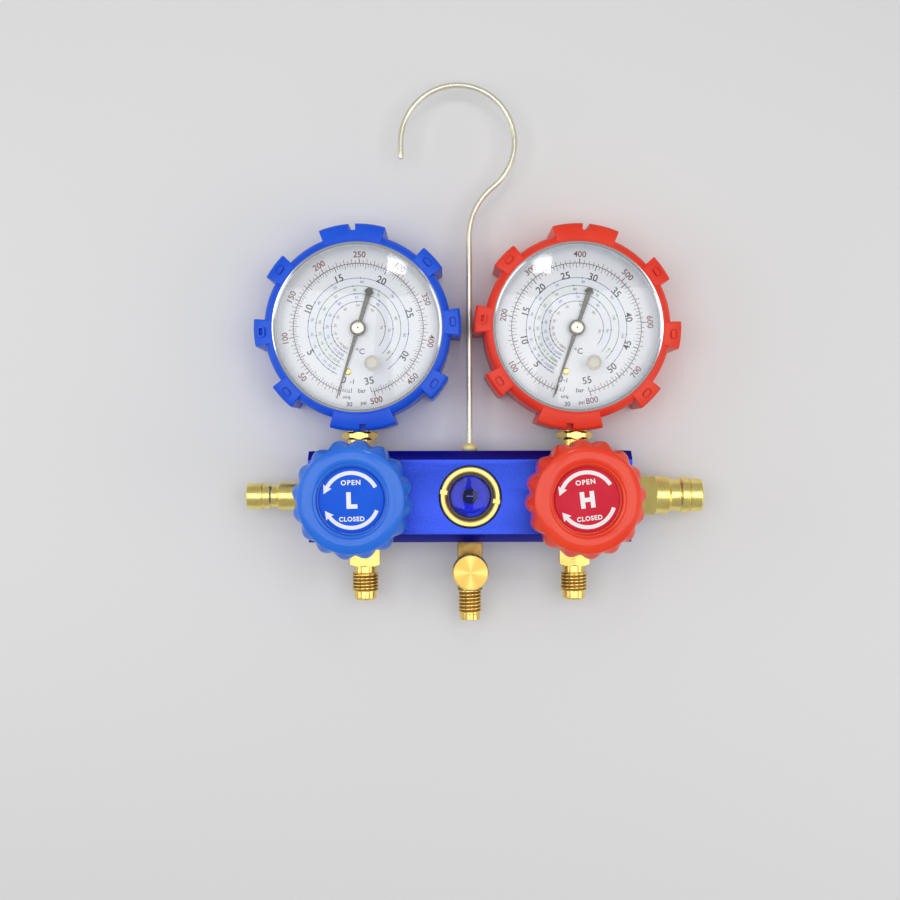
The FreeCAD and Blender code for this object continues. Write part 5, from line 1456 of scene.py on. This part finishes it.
@dataclass
class Studio:
    """The pale floor, the soft light and the camera."""

    camera_spot: tuple[float, float, float] = (-10.96, 26.6, 561.14)
    focal: float = 1167.15
    frame_pixels: float = 900.0
    sensor: float = 36.0
    tilts: tuple[float, float, float] = (0.0084, 0.0028, 0.0024)

    def build(self) -> None:
        """Sets the floor, the lamps, the world and the camera."""
        self.build_floor()
        self.build_camera()
        self.softbox("window", (11, 266, 395), 44, 0.065, (0, 100, 17))
        for name, spot, size, power in (("left_overhead", (-285, 60, 820), 520, 1.7),
                                        ("right_overhead", (285, 60, 820), 520, 1.7),
                                        ("left", (-640, 60, 300), 420, 0.7),
                                        ("right", (640, -160, 300), 420, 0.7)):
            self.softbox(name, spot, size, power, (0, 40, 0))
        scene = bpy.context.scene
        scene.view_settings.view_transform = "Standard"
        scene.world = bpy.data.worlds.new("studio")
        scene.world.use_nodes = True
        nodes = scene.world.node_tree.nodes
        nodes.clear()
        back = nodes.new("ShaderNodeBackground")
        back.inputs["Color"].default_value = (1.0, 1.0, 1.0, 1.0)
        back.inputs["Strength"].default_value = 0.4
        end = nodes.new("ShaderNodeOutputWorld")
        scene.world.node_tree.links.new(back.outputs[0], end.inputs["Surface"])

    def build_floor(self) -> None:
        """Lays the plain pale floor under the set."""
        shape = Shape()
        bmesh.ops.create_grid(shape.bm, x_segments=1, y_segments=1, size=3.0)
        floor = shape.link("floor")
        floor.data.materials.append(Paper("floor_paper").material())
        floor.location = (0, 0, -0.0002)

    def softbox(self, name: str, spot: Sequence[float], size: float, power: float,
                aim: Sequence[float]) -> None:
        """Adds a square soft lamp that looks at a point, both in millimetres from the block."""
        lamp = bpy.data.lights.new(name, "AREA")
        lamp.shape = "SQUARE"
        lamp.size = size * MM
        lamp.energy = power
        thing = bpy.data.objects.new(name, lamp)
        place = (block_middle() + Vector(spot)) * MM
        target = (block_middle() + Vector(aim)) * MM
        thing.location = place
        thing.rotation_euler = (target - place).to_track_quat("-Z", "Y").to_euler()
        bpy.context.scene.collection.objects.link(thing)

    def build_camera(self) -> None:
        """Sets the camera at the photograph's viewing angle."""
        lens = bpy.data.cameras.new("camera")
        lens.sensor_width = self.sensor
        lens.lens = self.focal * self.sensor / self.frame_pixels
        lens.clip_start = 0.01
        about_x, about_y, about_z = self.tilts
        turned = (Matrix.Rotation(about_z, 4, "Z") @ Matrix.Rotation(about_y, 4, "Y")
                  @ Matrix.Rotation(about_x, 4, "X")).inverted()
        thing = bpy.data.objects.new("camera", lens)
        thing.matrix_world = Matrix.Translation((block_middle() + Vector(self.camera_spot)) * MM) @ turned
        bpy.context.scene.collection.objects.link(thing)
        bpy.context.scene.camera = thing


def dress_rest() -> None:
    """Dresses the CAD nodes outside the gauges that stay as they are."""
    for node in ("sight_glass_gasket", "charge_cap_seal"):
        dress(node, SEAL_RUBBER)
    dress("charge_valve_core", BRASS_UP)
    for side in Side:
        for node, finish in (("bonnet_seal", SEAL_RUBBER), ("piston_ring", SEAL_RUBBER), ("piston", BRASS_UP),
                             ("spindle", BRASS_UP), ("knob_screw", SCREW_STEEL)):
            dress(f"{side.value}_{node}", finish)


def main() -> None:
    """Builds the set piece by piece."""
    logging.basicConfig(level=logging.INFO, format="%(name)s %(message)s")
    Studio().build()
    for part in (Block(), SightGlass(), ChargePort(), Hook(), HosePort(Side.LOW), HosePort(Side.HIGH),
                 *nipples(), Valve(Side.LOW, "L", 1.5, 14.5), Valve(Side.HIGH, "H", 6.5, 5.0), *gauges()):
        part.build()
        LOG.info("built %s", type(part).__name__)
    dress_rest()


if __name__ == "__main__":
    main()
